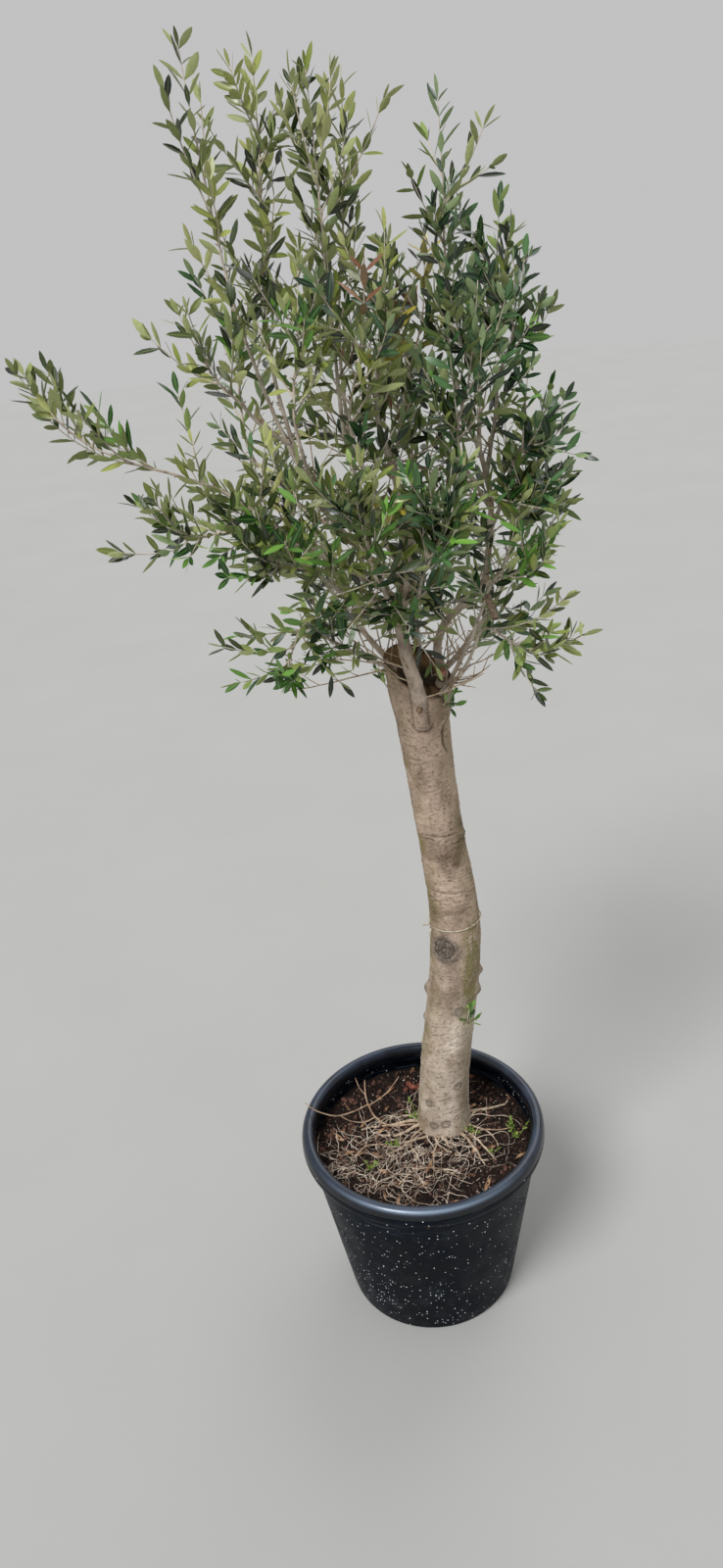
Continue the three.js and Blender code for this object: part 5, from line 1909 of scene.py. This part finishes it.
# %% [markdown]
# ## Seedlings and fallen leaves
#
# A pot that stands outdoors collects weeds. Each seedling here is a few thin stalks that bend outward
# from one spot, with tiny leaves in pairs. They are made by the same two functions as the tree's leaves,
# only shorter. Old olive leaves lie flat on the earth where they fell.

# %% Seedlings
# x, y, number of stalks, their length
SEEDLINGS = [(-114, -62, 3, 12), (-62, -9, 3, 10), (193, -20, 4, 26), (182, 6, 2, 18), (-8, 64, 5, 26),
             (104, 2, 3, 11), (140, -52, 2, 9)]


def make_seedlings():
    """A stalk runs along its start for its length, and bends outward by half its length over that."""
    starts, lengths = [], []
    for x, y, stalks, length in SEEDLINGS:
        starts += [(x, y)] * stalks
        lengths += [length] * stalks
    number = np.arange(len(starts))
    x, y = np.array(starts, float).T + 4 * (chance(31, number, np.array([[1], [2]])) - 0.5)
    length = np.array(lengths) * (0.6 + 0.5 * chance(32, number, 3))
    foot = np.stack([x, y, soil_level(x, y) - 1], -1)
    out = heading(number * GOLDEN_TURN, 40 + 30 * chance(33, number, 4))
    share = np.linspace(0, 1, TWIG_STATIONS)[:, None]
    rise = (0.5 * UP + out) * length[:, None]
    paths = foot[:, None] + rise[:, None] * share + (out * length[:, None] * 0.35)[:, None] * share**2
    stalks = tubes(paths, tapered(paths, 0.8, 0.45), 5)
    root, way, top, long, _ = leaf_pairs(paths, 3, 0.25, 0.95, number + 50, 9, number * 1.0)
    leaves = np.arange(len(root))
    points = leaf_points(root, way, top, long * 1.0, leaves + 900)
    blades = (points, many_grids(len(root), *LEAF_GRID))
    green = plain_finish("seedling_green", (84, 112, 44), (142, 164, 80), 0.01, rough=0.5, dent=0.0002)
    add_piece("seedlings", *joined([stalks, blades]), [green], "foliage")


def make_fallen_leaves():
    x, y = scattered(34, 61, outer=205)
    number = np.arange(len(x))
    root = np.stack([x, y, soil_level(x, y) + 4.5], -1)
    way = unit(heading(360 * chance(62, number, 1), 90) + UP * (chance(63, number, 2) - 0.6)[:, None] * 0.3)
    top = across_from(heading(360 * chance(64, number, 3), 25), way)
    long = 20 + 18 * chance(65, number, 4)
    dead = plain_finish("fallen_leaf_skin", (96, 66, 48), (168, 134, 100), 0.02, rough=0.7)
    faces = many_grids(len(x), *LEAF_GRID)
    add_piece("fallen_leaves", leaf_points(root, way, top, long, number + 400), faces, [dead], "foliage")


def make_red_clump():
    """Five lumps of reddish bark behind the trunk, at listed places."""
    x, y = np.array([(-8, 160), (6, 166), (-16, 172), (2, 152), (-24, 158)], float).T
    red = plain_finish("red_bark_skin", (84, 42, 34), (134, 80, 64), 0.008)
    add_piece("red_bark", *pebbles(x, y, np.array([13.0, 11, 10, 8, 9]), 71), [red], "compost", crease=35)


make_seedlings()
make_fallen_leaves()
make_red_clump()

# %% [markdown]
# ## Floor and light
#
# The tree stood outdoors under a bright overcast sky: light from everywhere, most of it from above. A
# pale floor that reaches past the view, a pale world round it, and two broad far lamps give the same
# quiet light. Far lamps light the floor evenly, so it meets the world behind it without a hard line.

# %% Floor
FLOOR_RINGS = 12
FLOOR_SIDES = 96
FLOOR_REACH = 14  # metres
FLOOR_DROP = 0.4  # millimetres under the pot


def make_floor():
    """A disc with a pole in its middle, so wide that it has no edge within the view."""
    away = np.linspace(0.2, FLOOR_REACH, FLOOR_RINGS)
    turn = full_turn(FLOOR_SIDES)
    around_pole = np.stack([np.cos(turn), np.sin(turn), 0 * turn], -1)
    points = np.concatenate([(away[:, None, None] * around_pole).reshape(-1, 3), [[0, 0, 0]]])
    quads = quads_round(FLOOR_RINGS, FLOOR_SIDES)[:, [0, 3, 2, 1]]  # turned over, to face up
    c = np.arange(FLOOR_SIDES)
    middle = np.stack([np.full(FLOOR_SIDES, len(points) - 1), c, (c + 1) % FLOOR_SIDES], -1)
    mesh = make_mesh("floor", points * 1000 - [0, 0, FLOOR_DROP], [quads, middle])
    paper = Finish("floor_paper", Specular_IOR_Level=0.2)
    paper.colour(paper.tones(paper.grain(0.5, 3), (168, 168, 166), (175, 175, 173)))
    paper.rough(0.9)
    mesh.materials.append(paper.material)
    floor = put("floor", mesh)


make_floor()

# %% Lights
# name, the side that it shines from, how many degrees wide it looks, and its strength
LAMPS = [("key", (-2.2, -3.0, 4.6), 22, 2.4), ("back", (1.6, 3.4, 4.0), 40, 0.6)]


def add_lamp(name, place, wide, strength):
    """A lamp shines along its own -Z, and its width softens shadows."""
    data = bpy.data.lights.new(name, "SUN")
    data.angle = math.radians(wide)
    data.energy = strength
    back = unit(np.array(place, float))
    right = unit(np.cross(UP, back))
    stand(put(name, data), right, np.cross(back, right), back, place)


for lamp in LAMPS:
    add_lamp(*lamp)

world = bpy.data.worlds.new("overcast")
world.use_nodes = True
sky = world.node_tree.nodes["Background"].inputs
sky["Color"].default_value = tint(236, 236, 236)
sky["Strength"].default_value = 0.64
bpy.context.scene.world = world
bpy.context.scene.view_settings.view_transform = "Standard"
